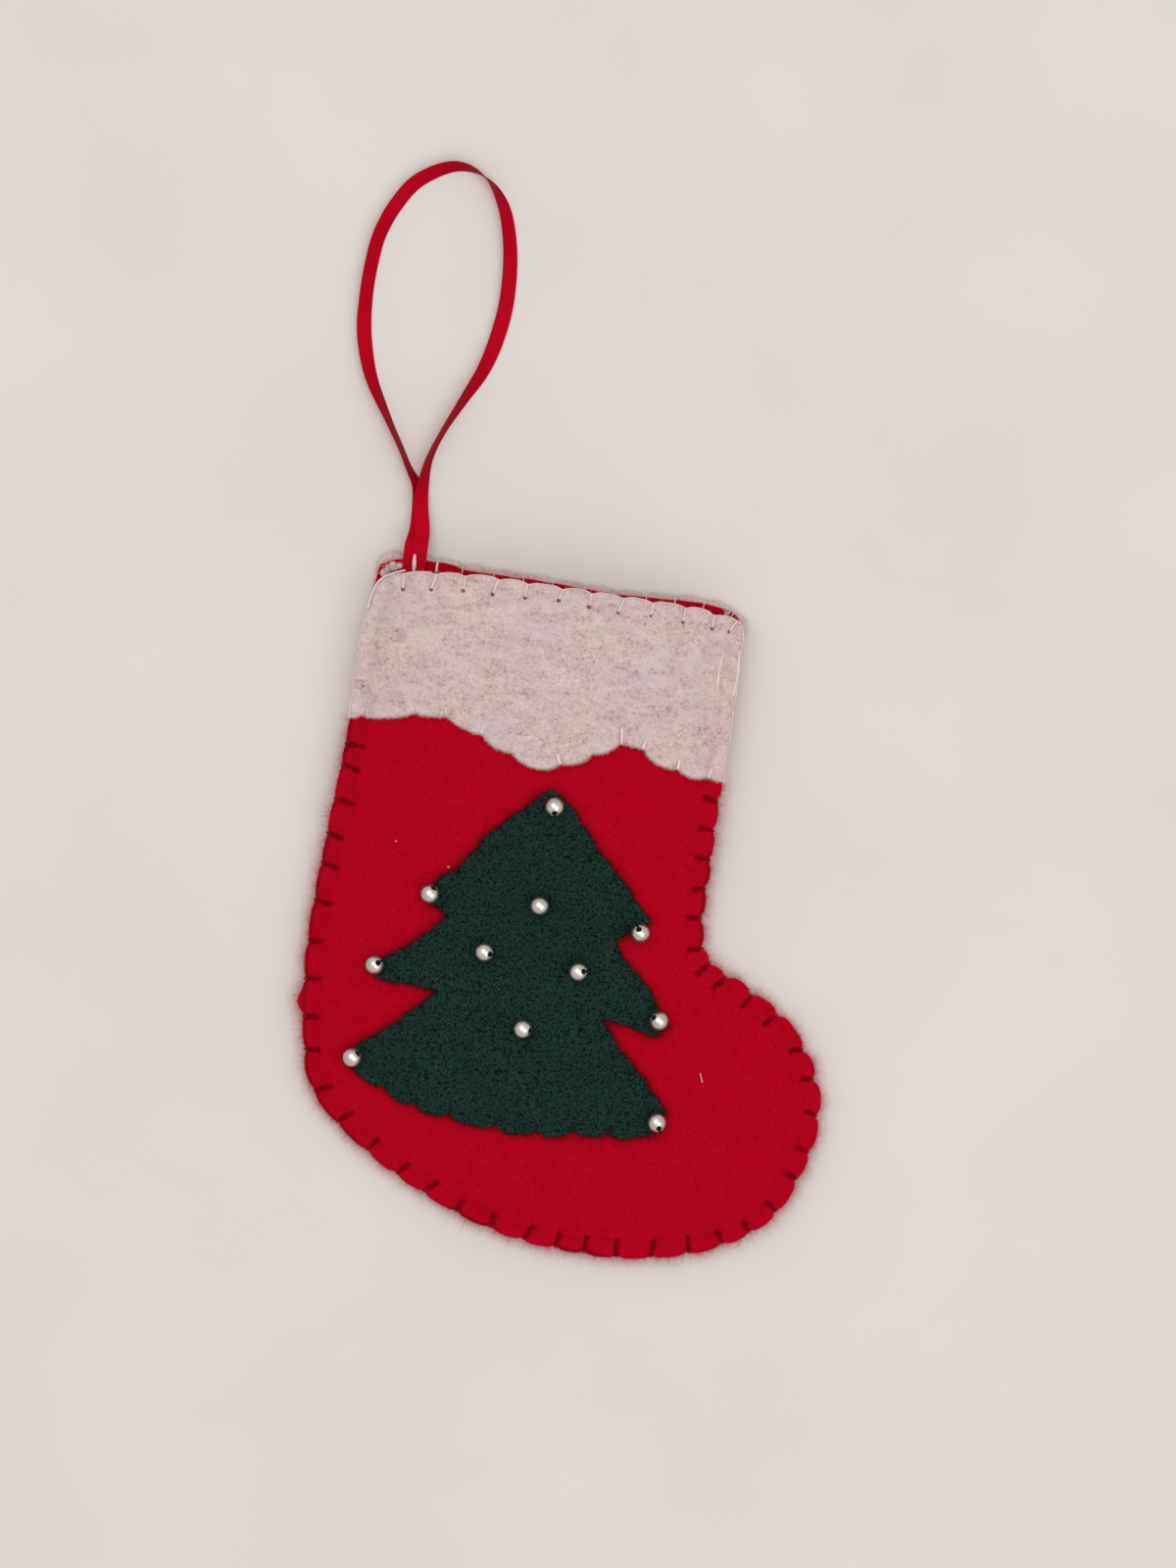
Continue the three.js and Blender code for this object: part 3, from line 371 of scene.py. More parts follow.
class Shape:
    """The stocking's edges and the heights of its layers, worked out once, in millimetres."""

    RISE_FROM, RISE_RUN = 24.0, 14.0  # where the back starts to rise over its cuff, below the hem
    WAVE, WAVE_LENGTH = 0.5, 23.0  # the front's soft unevenness
    SEAM_PUFF, SHOULDER = 0.18, 2.5  # how the front rises next to its seam
    GROOVE, GROOVE_OUT, GROOVE_WIDTH = 0.4, 0.3, 0.9  # what the tree's edge presses into the front

    made = None

    @classmethod
    def get(cls):
        if cls.made is None:
            cls.made = cls()
        return cls.made

    def __init__(self):
        seam = smooth_line(on_front(SEAM_SHARES))
        heel = smooth_line(on_front(HEEL_SIDE_SHARES))
        toe = smooth_line(on_front(TOE_SIDE_SHARES))
        self.seam = Edge(seam, SEAM_STITCHES, self.seam_draw(), 0.15, seed=1, bulges=HEEL_BULGES)
        self.heel = Edge(heel, SIDE_STITCHES, 0.25, seed=2)
        self.toe = Edge(toe, SIDE_STITCHES, 0.25, seed=3)
        mouth_draw = [0.15, *[0.42] * (len(FRONT_MOUTH_STITCHES) - 2), 0.1]
        mouth = smooth_line(on_front(FRONT_MOUTH_SHARES))
        self.front_mouth = Edge(mouth, FRONT_MOUTH_STITCHES, mouth_draw, 0.12, seed=4)
        self.hem = Edge(smooth_line(on_front(HEM_SHARES)), HEM_STITCHES, 0.45, 0.3, seed=6)
        self.front = joined_outline(self.heel.line, self.seam.line, self.toe.line, self.front_mouth.line)
        self.front_cuff = joined_outline(
            self.heel.line, self.hem.line, self.toe.line, self.front_mouth.line
        )
        mouth, heel_line, toe_line = self.back_edges(BACK_MOUTH_SHARES, (), 7)
        self.back = joined_outline(heel_line, self.seam.line, toe_line, mouth.line)
        self.back_mouth, heel_line, toe_line = self.back_edges(
            BACK_CUFF_MOUTH_SHARES, BACK_MOUTH_STITCHES, 5
        )
        self.back_cuff = joined_outline(heel_line, self.hem.line, toe_line, self.back_mouth.line)
        self.lying = joined_outline(heel_line, self.seam.line, toe_line, self.back_mouth.line)
        self.tree_edges = []
        for number, (points, at) in enumerate(TREE_EDGES):
            draw, puff = (0.85, 0.35) if number == TREE_FOOT else (0.3, 0.05)
            stitches = [(share, TREE_STITCH, 0.0) for share in at]
            self.tree_edges.append(Edge(on_tree(points), stitches, draw, puff, 9 + number, left=False))
        self.tree = joined_outline(*[edge.line for edge in self.tree_edges])[::-1]
        tall = np.array([[0, sizes().height]])
        self.pouch = np.vstack(
            [heel[:1] + tall, heel[::8], seam[::6], toe[::8], toe[-1:], toe[-1:] + tall]
        )
        self.low_hem = on_front(HEM_SHARES)[:, 1].min()

    def seam_draw(self):
        """How far in each stitch draws the seam: little at the heel side, most at the toe."""
        draw = []
        for share, _, _ in SEAM_STITCHES:
            sole = min(1, share / 0.4)
            toe = math.exp(-(((share - 0.8) / 0.1) ** 2))
            draw.append(0.18 + 0.3 * sole + 0.5 * toe)
        return draw

    def back_edges(self, shares, stitches, seed):
        """The mouth of a back layer, and the lines of its two sides up to that mouth."""
        points = on_front(shares)
        mouth = Edge(smooth_line(points), stitches, 0.4, 0.1, seed=seed)
        heel = smooth_line(np.vstack([points[-1:], on_front(HEEL_SIDE_SHARES)[1:]]))
        toe = smooth_line(np.vstack([on_front(TOE_SIDE_SHARES)[:-1], points[:1]]))
        return mouth, Edge(heel, (), seed=2).line, Edge(toe, (), seed=3).line

    def heights(self, places):
        """For each place: the back's lift, how far it lies over the back cuff, and the front's crown."""
        s = sizes()
        p = np.asarray(places, float)
        edge = depth_in(self.lying[::3], p)
        lift = s.edge_lift * np.clip(1 - edge / s.edge_run, 0, 1.3) ** 1.5
        over = np.clip((p[:, 1] - (self.low_hem - self.RISE_FROM)) / self.RISE_RUN, 0, 1)
        over = over * over * (3 - 2 * over)
        lift = np.maximum(lift, over * s.cuff_lift)
        depth = depth_in(self.pouch, p)
        share = np.clip(depth / s.crown_run, -0.1, 1)
        crown = s.crown * (1 - (1 - share) ** 2)
        far = p / self.WAVE_LENGTH
        wave = np.array([noise.noise(Vector((x, y, 4.0))) for x, y in far])
        crown = np.maximum(crown, 0) + wave * self.WAVE * np.clip(depth / 12, 0, 1)
        crown = (crown + self.SEAM_PUFF) * np.clip((depth - s.seam_width) / self.SHOULDER, 0, 1)
        return lift, over, crown

    def back_cuff_low(self, p):
        return self.heights(p)[0]

    def back_cuff_high(self, p):
        return self.back_cuff_low(p) + sizes().felt

    def back_low(self, p):
        lift, over, _ = self.heights(p)
        return lift + over * sizes().layer

    def back_high(self, p):
        return self.back_low(p) + sizes().felt

    def front_low(self, p):
        lift, over, crown = self.heights(p)
        s = sizes()
        return lift + over * s.layer + s.felt + s.seam_gap + crown

    def front_high(self, p):
        return self.front_low(p) + sizes().felt

    def front_pressed(self, p):
        """The front's face with the groove that the sewn edge of the tree presses into it."""
        off = (depth_in(self.tree[::2], p) + self.GROOVE_OUT) / self.GROOVE_WIDTH
        return self.front_high(p) - self.GROOVE * np.exp(-(off**2))

    def trim_low(self, p):
        return self.front_low(p) + sizes().layer

    def trim_high(self, p):
        return self.trim_low(p) + sizes().felt


# Meshes


def finish_piece(bm_or_mesh, name, material, body, nodes):
    """Makes the object from millimetres on the front's own places, and seats it in the part's frame."""
    if isinstance(bm_or_mesh, bmesh.types.BMesh):
        mesh = bpy.data.meshes.new(name)
        bm_or_mesh.to_mesh(mesh)
        bm_or_mesh.free()
    else:
        mesh = bm_or_mesh
    origin = table_origin()
    mesh.transform(Matrix.Diagonal((MM, MM, MM, 1)) @ Matrix.Translation((origin[0], origin[1], 0)))
    mesh.name = name
    mesh.materials.clear()
    mesh.materials.append(material)
    mesh.polygons.foreach_set("use_smooth", [True] * len(mesh.polygons))
    piece = bpy.data.objects.new(name, mesh)
    bpy.context.collection.objects.link(piece)
    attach(piece, body)
    if nodes:
        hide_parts(*nodes)
    return piece


def cut_felt(name, outline):
    """A flat sheet cut to the outline, its mesh as uneven as the felt."""
    cell = sizes().mesh * 1.0
    corner, far = outline.min(0) - cell, outline.max(0) + cell
    wide, tall = far - corner
    bm = bmesh.new()
    place = Matrix.Translation((*((corner + far) / 2), 0)) @ Matrix.Diagonal((wide / 2, tall / 2, 1, 1))
    counts = {"x_segments": math.ceil(wide / cell), "y_segments": math.ceil(tall / cell)}
    bmesh.ops.create_grid(bm, size=1, matrix=place, **counts)
    verts = bm.verts[:]
    inside = depth_in(outline, np.array([v.co[:2] for v in verts]))
    outer = [v for v, depth in zip(verts, inside) if depth < 0.75 * cell]
    bmesh.ops.delete(bm, geom=outer, context="VERTS")
    rng = random.Random(name)
    stray = 0.18  # of each vertex from its place in the grid, as a share of its cell
    for v in bm.verts:
        v.co.x += rng.uniform(-stray, stray) * cell
        v.co.y += rng.uniform(-stray, stray) * cell
    rim = [e for e in bm.edges if e.is_boundary]
    ring = [bm.verts.new((x, y, 0)) for x, y in outline]
    rim += [bm.edges.new((ring[i - 1], ring[i])) for i in range(len(ring))]
    bmesh.ops.triangle_fill(bm, use_beauty=True, use_dissolve=False, edges=rim, normal=(0, 0, 1))
    return bm


def felt_piece(name, outline, low, high, bites, under_bites, material, nodes):
    """A felt layer between two height fields, pressed in along its stitches."""
    bm = cut_felt(name, outline)
    made = bmesh.ops.extrude_face_region(bm, geom=bm.faces[:])["geom"]
    top = [g for g in made if isinstance(g, bmesh.types.BMVert)]
    above = set(top)
    bottom = [v for v in bm.verts if v not in above]
    rim_edges = []
    for e in bm.edges:
        level = (e.verts[0] in above) == (e.verts[1] in above)
        if level and any(len({v in above for v in f.verts}) == 2 for f in e.link_faces):
            rim_edges.append(e)
    for group, field, marks, way in ((top, high, bites, -1), (bottom, low, under_bites, 1)):
        at = np.array([v.co[:2] for v in group])
        z = field(at)
        for a, b, deep, wide in marks:
            run = b - a
            share = np.clip(((at - a) @ run) / (run @ run), 0, 1)
            off = np.linalg.norm(at - (a + share[:, None] * run), axis=1)
            z = z + way * deep * np.exp(-((off / wide) ** 2))
        for v, h in zip(group, z):
            v.co.z = h
    bmesh.ops.recalc_face_normals(bm, faces=bm.faces[:])
    rounding = 0.32  # of the cut edge, in millimetres
    bmesh.ops.bevel(
        bm, geom=rim_edges, offset=rounding, offset_type="OFFSET", segments=2, profile=0.5,
        affect="EDGES", clamp_overlap=True, material=-1,
    )
    bmesh.ops.smooth_vert(
        bm, verts=bm.verts[:], factor=0.25, use_axis_x=False, use_axis_y=False, use_axis_z=True
    )
    return finish_piece(bm, name, material, "stocking", nodes)


def threads(name, paths, thickness, material, body, nodes, sides=1, taper=False, fine=()):
    """Many threads as one mesh: a round section drawn along each path, its ends closed. The fine
    ones have half the thickness."""
    curve = bpy.data.curves.new(name, "CURVE")
    curve.dimensions = "3D"
    curve.bevel_depth = thickness / 2
    curve.bevel_resolution = sides
    curve.use_fill_caps = True
    for number, path in enumerate([*paths, *fine]):
        path = np.asarray(path, float)
        spline = curve.splines.new("POLY")
        spline.points.add(len(path) - 1)
        spline.points.foreach_set("co", np.hstack([path, np.ones((len(path), 1))]).ravel())
        if taper:
            spline.points.foreach_set("radius", np.linspace(1, 0.25, len(path)))
        elif number >= len(paths):
            spline.points.foreach_set("radius", np.full(len(path), 0.5))
    tool = bpy.data.objects.new(name, curve)
    bpy.context.collection.objects.link(tool)
    bpy.context.view_layer.update()
    mesh = bpy.data.meshes.new_from_object(tool.evaluated_get(bpy.context.evaluated_depsgraph_get()))
    bpy.data.objects.remove(tool)
    bpy.data.curves.remove(curve)
    return finish_piece(mesh, name, material, body, nodes)


def lifted(points, height):
    """Points on the front's places with a height each."""
    points = np.asarray(points, float)
    return np.hstack([points, np.broadcast_to(height, (len(points),))[:, None]])


# Materials


def linear(code):
    """sRGB hex to linear colour."""
    parts = [int(code[i : i + 2], 16) / 255 for i in (1, 3, 5)]
    return tuple(c / 12.92 if c <= 0.04045 else ((c + 0.055) / 1.055) ** 2.4 for c in parts) + (1.0,)


def shade(code, by):
    """The colour with its lightness changed by a share."""
    parts = [min(255, max(0, round(int(code[i : i + 2], 16) * by))) for i in (1, 3, 5)]
    return "#%02x%02x%02x" % tuple(parts)


def grey(share):
    return (share, share, share, 1.0)


def add_node(tree, kind, inputs=None, links=None, stops=(), **settings):
    """Adds a node with its settings, its inputs' values, the links into it and a ramp's stops."""
    node = tree.nodes.new("ShaderNode" + kind)
    for key, value in settings.items():
        setattr(node, key, value)
    for key, value in (inputs or {}).items():
        node.inputs[key].default_value = value
    for key, source in (links or {}).items():
        tree.links.new(source, node.inputs[key])
    for number, (place, tone) in enumerate(stops):
        band = node.color_ramp.elements
        stop = band[number] if number < len(band) else band.new(place)
        stop.position = place
        stop.color = tone
    return node


def grain(size_mm, detail, rough=0.5, distortion=0.0):
    """The settings of a noise whose features are about that many millimetres across."""
    return {"Scale": 1 / (size_mm * MM), "Detail": detail, "Roughness": rough, "Distortion": distortion}


def blank_material(name):
    material = bpy.data.materials.new(name)
    material.use_nodes = True
    material.node_tree.nodes.clear()
    return material, material.node_tree


def clouded(tree, base, size_mm, dark):
    """A colour that wavers softly between itself and that share of its lightness."""
    space = add_node(tree, "TexCoord").outputs["Object"]
    cloud = add_node(tree, "TexNoise", grain(size_mm, 2.0), {"Vector": space}).outputs["Fac"]
    stops = ((0.35, linear(shade(base, dark))), (0.65, linear(base)))
    return add_node(tree, "ValToRGB", links={"Fac": cloud}, stops=stops).outputs[0]


def wool_felt(
    name, base, light, dark, patches, fleck, fleck_from, fleck_mm,
    patch_mm=(3.6, 7.0), patch_share=0.34, fleck_share=1.0, fleck_soft=0.045, heathered=False,
):
    """Needled wool felt: matte, with matted fibres half a millimetre apart, soft patches a few
    millimetres across and darker flecks between the fibres, in streaks where it is heathered."""
    material, tree = blank_material(name)
    space = add_node(tree, "TexCoord").outputs["Object"]
    aside = add_node(tree, "Mapping", {"Location": (0.031, 0.017, 0.02)}, {"Vector": space}).outputs[0]
    fibres = add_node(tree, "TexNoise", grain(0.55, 4.0, 0.6, 1.6), {"Vector": space}).outputs["Fac"]
    tones = ((0.3, linear(dark)), (0.5, linear(base)), (0.72, linear(light)))
    tone = add_node(tree, "ValToRGB", links={"Fac": fibres}, stops=tones).outputs[0]
    for patch, size, where, warp, thin, full in (
        (patches[0], patch_mm[0], space, 0.6, 0.38, 0.62),
        (patches[1], patch_mm[1], aside, 0.4, 0.42, 0.66),
    ):
        cloud = add_node(tree, "TexNoise", grain(size, 3.0, 0.6, warp), {"Vector": where}).outputs["Fac"]
        stops = ((thin, grey(0)), (full, grey(patch_share)))
        soft = add_node(tree, "ValToRGB", links={"Fac": cloud}, stops=stops).outputs[0]
        tone = add_node(
            tree, "Mix", {7: linear(patch)}, {0: soft, 6: tone}, data_type="RGBA"
        ).outputs[2]
    specks = add_node(tree, "TexNoise", grain(fleck_mm, 1.5, 0.5, 0.3), {"Vector": space}).outputs["Fac"]
    stops = ((fleck_from, grey(fleck_share)), (fleck_from + fleck_soft, grey(0)))
    speck = add_node(tree, "ValToRGB", links={"Fac": specks}, stops=stops).outputs[0]
    if heathered:
        # Dark wool among the white, drawn out into slanting streaks three millimetres long.
        slant = {"Rotation": (0, 0, math.radians(-25)), "Scale": (0.75, 1.2, 1)}
        laid = add_node(tree, "Mapping", slant, {"Vector": aside}).outputs[0]
        wisps = add_node(tree, "TexNoise", grain(3.0, 4.0, 0.62, 0.8), {"Vector": laid}).outputs["Fac"]
        stops = ((0.4, grey(0)), (0.7, grey(1)))
        streaks = add_node(tree, "ValToRGB", links={"Fac": wisps}, stops=stops).outputs[0]
        part = add_node(tree, "Math", {1: 0.42}, {0: streaks}, operation="MULTIPLY").outputs[0]
        tone = add_node(tree, "Mix", {7: linear(dark)}, {0: part, 6: tone}, data_type="RGBA").outputs[2]
        speck = add_node(tree, "Math", links={0: speck, 1: streaks}, operation="MULTIPLY").outputs[0]
    tone = add_node(tree, "Mix", {7: linear(fleck)}, {0: speck, 6: tone}, data_type="RGBA").outputs[2]
    dent = add_node(tree, "Math", {1: 0.5}, {0: speck}, operation="MULTIPLY").outputs[0]
    height = add_node(tree, "Math", links={0: fibres, 1: dent}, operation="SUBTRACT").outputs[0]
    bump = add_node(tree, "Bump", {"Strength": 0.7, "Distance": 0.35 * MM}, {"Height": height})
    shader = add_node(
        tree, "BsdfPrincipled",
        {
            "Roughness": 0.95, "Specular IOR Level": 0.05,
            "Sheen Weight": 0.25, "Sheen Roughness": 0.28, "Sheen Tint": linear(light),
        },
        {"Base Color": tone, "Normal": bump.outputs[0]},
    )
    add_node(tree, "OutputMaterial", links={"Surface": shader.outputs[0]})
    return material


def sewing_thread(name, base):
    """Soft cotton thread: fine turns of its plies, and a slightly uneven dye along it."""
    material, tree = blank_material(name)
    space = add_node(tree, "TexCoord").outputs["Object"]
    plies = add_node(tree, "TexNoise", grain(0.25, 2.0), {"Vector": space}).outputs["Fac"]
    tone = clouded(tree, base, 2.5, 0.93)
    bump = add_node(tree, "Bump", {"Strength": 0.5, "Distance": 0.06 * MM}, {"Height": plies})
    shader = add_node(
        tree, "BsdfPrincipled", {"Roughness": 0.85, "Specular IOR Level": 0.1},
        {"Base Color": tone, "Normal": bump.outputs[0]},
    )
    add_node(tree, "OutputMaterial", links={"Surface": shader.outputs[0]})
    return material


def loose_fibre(name, base):
    """Single wool fibres, matte and thin enough for some of the light to come through."""
    material, tree = blank_material(name)
    tone = clouded(tree, base, 0.8, 0.88)
    matte = {"Roughness": 1.0, "Specular IOR Level": 0.0}
    shader = add_node(tree, "BsdfPrincipled", matte, {"Base Color": tone})
    through = add_node(tree, "BsdfTranslucent", links={"Color": tone})
    both = add_node(tree, "MixShader", {0: 0.35}, {1: shader.outputs[0], 2: through.outputs[0]})
    add_node(tree, "OutputMaterial", links={"Surface": both.outputs[0]})
    return material


def satin_ribbon(name, base):
    """Polyester satin ribbon: long smooth floats across fine ribs an eighth of a millimetre apart, with
    painted shade: its colour deepens where it turns away from the view."""
    material, tree = blank_material(name)
    along = add_node(tree, "UVMap", uv_map="UVMap").outputs[0]
    ribs = add_node(
        tree, "TexWave", {"Scale": 1.0, "Distortion": 0.3, "Detail": 1.0}, {"Vector": along},
        wave_type="BANDS", bands_direction="X",
    ).outputs["Fac"]
    stops = ((0.0, linear(shade(base, 0.88))), (1.0, linear(base)))
    tone = add_node(tree, "ValToRGB", links={"Fac": ribs}, stops=stops).outputs[0]
    # Painted shade: where the strip turns away from the view, its colour is mixed towards a darker red.
    lean = add_node(tree, "LayerWeight", {"Blend": 0.5}).outputs["Facing"]
    stops = ((0.05, grey(0)), (0.75, grey(1)))
    deep = add_node(tree, "ValToRGB", links={"Fac": lean}, stops=stops).outputs[0]
    painted_lean_shade = linear(shade(base, 0.66))
    tone = add_node(tree, "Mix", {7: painted_lean_shade}, {0: deep, 6: tone}, data_type="RGBA").outputs[2]
    bump = add_node(tree, "Bump", {"Strength": 0.25, "Distance": 0.03 * MM}, {"Height": ribs})
    shader = add_node(
        tree, "BsdfPrincipled", {"Roughness": 0.45, "Specular IOR Level": 0.03},
        {"Base Color": tone, "Normal": bump.outputs[0]},
    )
    add_node(tree, "OutputMaterial", links={"Surface": shader.outputs[0]})
    return material


def pearl_lustre(name, base):
    """Acrylic pearl with a silver lustre coat: a metallic shine under a clear gloss, with painted
    reflection: darker towards the rim, for the dark surroundings it mirrors.
    """
    material, tree = blank_material(name)
    tone = clouded(tree, base, 1.4, 0.94)
    rim = add_node(tree, "LayerWeight", {"Blend": 0.5}).outputs["Facing"]
    stops = ((0.12, grey(0)), (0.85, grey(1)))
    painted_rim_reflection_mask = add_node(tree, "ValToRGB", links={"Fac": rim}, stops=stops).outputs[0]
    # Painted reflection: the darker colour towards the rim stands for the dark room and felt mirrored in
    # the pearl.
    lustre = linear(shade(base, 0.52))
    tone = add_node(tree, "Mix", {7: lustre}, {0: painted_rim_reflection_mask, 6: tone}, data_type="RGBA").outputs[2]
    coat = {"Metallic": 0.9, "Roughness": 0.28, "Coat Weight": 0.7, "Coat Roughness": 0.1}
    shader = add_node(tree, "BsdfPrincipled", coat, {"Base Color": tone})
    add_node(tree, "OutputMaterial", links={"Surface": shader.outputs[0]})
    return material


def bore_painted_shade(name):
    """The inside of a pearl's hole, bare acrylic, in painted shade: its dark colour stands for the little
    light that reaches it.
    """
    material, tree = blank_material(name)
    # Painted shade: a dark colour for the inside of the hole.
    painted_dark = {"Base Color": linear("#2b2522"), "Roughness": 0.8}
    shader = add_node(tree, "BsdfPrincipled", painted_dark)
    add_node(tree, "OutputMaterial", links={"Surface": shader.outputs[0]})
    return material


def matte_table(name, base):
    """Pale matte laminate with the faintest cloudiness."""
    material, tree = blank_material(name)
    space = add_node(tree, "TexCoord").outputs["Object"]
    cloud = add_node(tree, "TexNoise", grain(60.0, 3.0), {"Vector": space}).outputs["Fac"]
    stops = ((0.3, linear(shade(base, 0.985))), (0.7, linear(shade(base, 1.01))))
    tone = add_node(tree, "ValToRGB", links={"Fac": cloud}, stops=stops).outputs[0]
    matte = {"Roughness": 0.85, "Specular IOR Level": 0.1}
    shader = add_node(tree, "BsdfPrincipled", matte, {"Base Color": tone})
    add_node(tree, "OutputMaterial", links={"Surface": shader.outputs[0]})
    return material


MATERIALS = {}


def finish(name):
    """The material of that name, made at its first use."""
    c = colours()
    makers = {
        "red_felt": lambda: wool_felt(
            "red_wool_felt", c.red_felt, light="#cc0428", dark="#9a0016",
            patches=("#c00028", "#aa0018"), fleck="#8c0012", fleck_from=0.25, fleck_mm=0.7,
        ),
        "white_felt": lambda: wool_felt(
            "white_heather_felt", c.white_felt, light="#f4dfd9", dark="#b99592",
            patches=("#d8cabf", "#d8c0cb"), fleck="#98706f", fleck_from=0.3, fleck_mm=0.55,
            patch_mm=(8.0, 10.0), patch_share=0.6, fleck_share=0.8, fleck_soft=0.18, heathered=True,
        ),
        "green_felt": lambda: wool_felt(
            "dark_green_wool_felt", c.green_felt, light="#2f4e45", dark="#10201b",
            patches=("#1f3b35", "#192b25"), fleck="#0b1411", fleck_from=0.4, fleck_mm=0.5,
        ),
        # Pinker and lighter than the red felt: besides the fibres' own colour, this paints red light
        # bounced onto the table and lightens the shadow at the edge.
        "red_fibre": lambda: loose_fibre("loose_red_wool_fibre", "#f07486"),
        "white_fibre": lambda: loose_fibre("loose_white_wool_fibre", "#f2e2de"),
        "white_fluff": lambda: loose_fibre("matted_white_wool_fluff", "#f8e0dd"),
        # Dark, and laid dense and low round the tree: besides being loose fibres, these also paint the
        # contact shadow at the tree's edge.
        "green_fibre": lambda: loose_fibre("loose_green_wool_fibre", "#1a2c27"),
        "nap_fibre": lambda: loose_fibre("red_nap_fibre", "#b2001c"),
        "drawn_fibre": lambda: loose_fibre("fibre_drawn_through", "#b4686f"),
        "red_thread": lambda: sewing_thread("dark_red_cotton_thread", c.red_thread),
        "white_thread": lambda: sewing_thread("white_cotton_thread", c.white_thread),
        "green_thread": lambda: sewing_thread("dark_green_cotton_thread", c.green_thread),
        "satin_ribbon": lambda: satin_ribbon("red_satin_ribbon", c.ribbon),
        "pearl": lambda: pearl_lustre("silver_pearl_lustre", c.pearl),
        "bore": lambda: bore_painted_shade("shaded_bore"),
        "table": lambda: matte_table("pale_matte_laminate", c.table),
    }
    if name not in MATERIALS:
        MATERIALS[name] = makers[name]()
    return MATERIALS[name]


# Stitches


def sewn(name, paths, thickness, dye, node, fine=()):
    """Stitches of sewing thread in that colour, the fine ones half as thick."""
    slot = f"{dye}_thread"
    threads(name, paths, thickness, finish(slot), "stocking", [node], sides=2, fine=fine)


def wrap_path(start, end, out, low, high, bed):
    """One wrap of blanket stitch: over the top from the edge to its needle hole, and under, lying
    as deep as its bed in the felt."""
    bend, turn = 0.35, 0.25  # from the edge to the bed, and from the bed to the hole
    way = (end - start) / np.linalg.norm(end - start)
    outer, near, far = start - way * out, start + way * bend, end - way * turn
    places = np.array([outer, outer, near, (near + far) / 2, far, end])
    below, above = low(places), high(places)
    below[0] = above[0] = (below[0] + above[0]) / 2
    hole, inner = bed + 0.08, bed + 0.43
    dip = (0, max(0.05, bed), max(0.0, bed - 0.05) * 1.3 - 0.02, bed, hole, inner)
    rise = (0, 0.05, -0.02, bed, hole, inner)
    return smooth_line(lifted(places, above - dip), 4), smooth_line(lifted(places, below + rise), 4)


def edge_path(edge, low, high, out, rise):
    """A thread that runs along the whole of a sewn edge, so far out of it and up its thickness."""
    inward, _ = inward_of(edge.line)
    line = edge.line - inward * np.reshape(out, (-1, 1))
    return lifted(line, low(line) * (1 - rise) + high(line) * rise)


def bite_marks(edge, deep, wide=0.62, after=0.0):
    """Where the stitches press the felt in: start and end, how deep and how wide."""
    marks = []
    for start, end in edge.stitches:
        way = (end - start) / np.linalg.norm(end - start)
        marks.append((start + way * after, end, deep, wide))
    return marks


def fibre_paths(line, low, high, count, length, rise, seed):
    """Loose fibres that stand out of a cut edge and curl, from that share of its thickness up."""
    rng = random.Random(seed)
    inward, ahead = inward_of(line)
    floor, top = low(line), high(line)
    paths = []
    for _ in range(count):
        i = rng.randrange(1, len(line) - 1)
        z = floor[i] + (top[i] - floor[i]) * rng.uniform(rise, 1.0)
        long = rng.uniform(0.35, 1.0) * length
        way = -inward[i] + ahead[i] * rng.uniform(-1.2, 1.2)
        way /= np.linalg.norm(way)
        curl = rng.uniform(-0.7, 0.7)
        climb = rng.uniform(-0.35, 0.45)
        path = []
        for t in (0, 0.25, 0.5, 0.75, 1):
            side = np.array([-way[1], way[0]]) * curl * t * t * long
            at = line[i] + inward[i] * 0.15 + way * t * long + side
            path.append((at[0], at[1], max(0.06, z + climb * t * long)))
        paths.append(path)
    return paths


# Operators


class STOCKING_OT_felts(bpy.types.Operator):
    """Cuts and seats the five felts: back cuff, back, front, front cuff and tree"""

    bl_idname = "stocking.felts"
    bl_label = "Felts"

    def execute(self, context):
        shape = Shape.get()
        seam = bite_marks(shape.seam, 0.6, 0.6, after=1.0)
        sides = bite_marks(shape.heel, 0.25) + bite_marks(shape.toe, 0.25)
        mouth = bite_marks(shape.front_mouth, 0.5, 0.7)
        back_mouth = bite_marks(shape.back_mouth, 0.35, 0.5)
        hem = bite_marks(shape.hem, 0.45)
        tree = [mark for edge in shape.tree_edges for mark in bite_marks(edge, 0.4)]
        dent, reach = 0.45, 2.1  # how deep and how wide a bead presses the tree in
        for joint in frame["joints"]:
            if joint["child"].startswith("bead_"):
                at = np.array(joint["pos_m"][:2]) / MM - table_origin()
                tree.append((at, at + 0.01, dent, reach))
        layers = (
            (
                "back_cuff_felt", "white_felt", "back_cuff", shape.back_cuff,
                shape.back_cuff_low, shape.back_cuff_high, back_mouth, back_mouth + sides,
            ),
            (
                "back_felt", "red_felt", "back_panel", shape.back,
                shape.back_low, shape.back_high, [], seam,
            ),
            (
                "front_felt", "red_felt", "front_panel", shape.front,
                shape.front_low, shape.front_pressed, seam, [],
            ),
            (
                "front_cuff_felt", "white_felt", "front_cuff", shape.front_cuff,
                shape.trim_low, shape.trim_high, mouth + sides + hem, [],
            ),
            (
                "tree_felt", "green_felt", "tree_applique", shape.tree,
                shape.trim_low, shape.trim_high, tree, [],
            ),
        )
        for name, felt, node, outline, low, high, bites, under_bites in layers:
            piece = felt_piece(name, outline, low, high, bites, under_bites, finish(felt), [node])
        return {"FINISHED"}


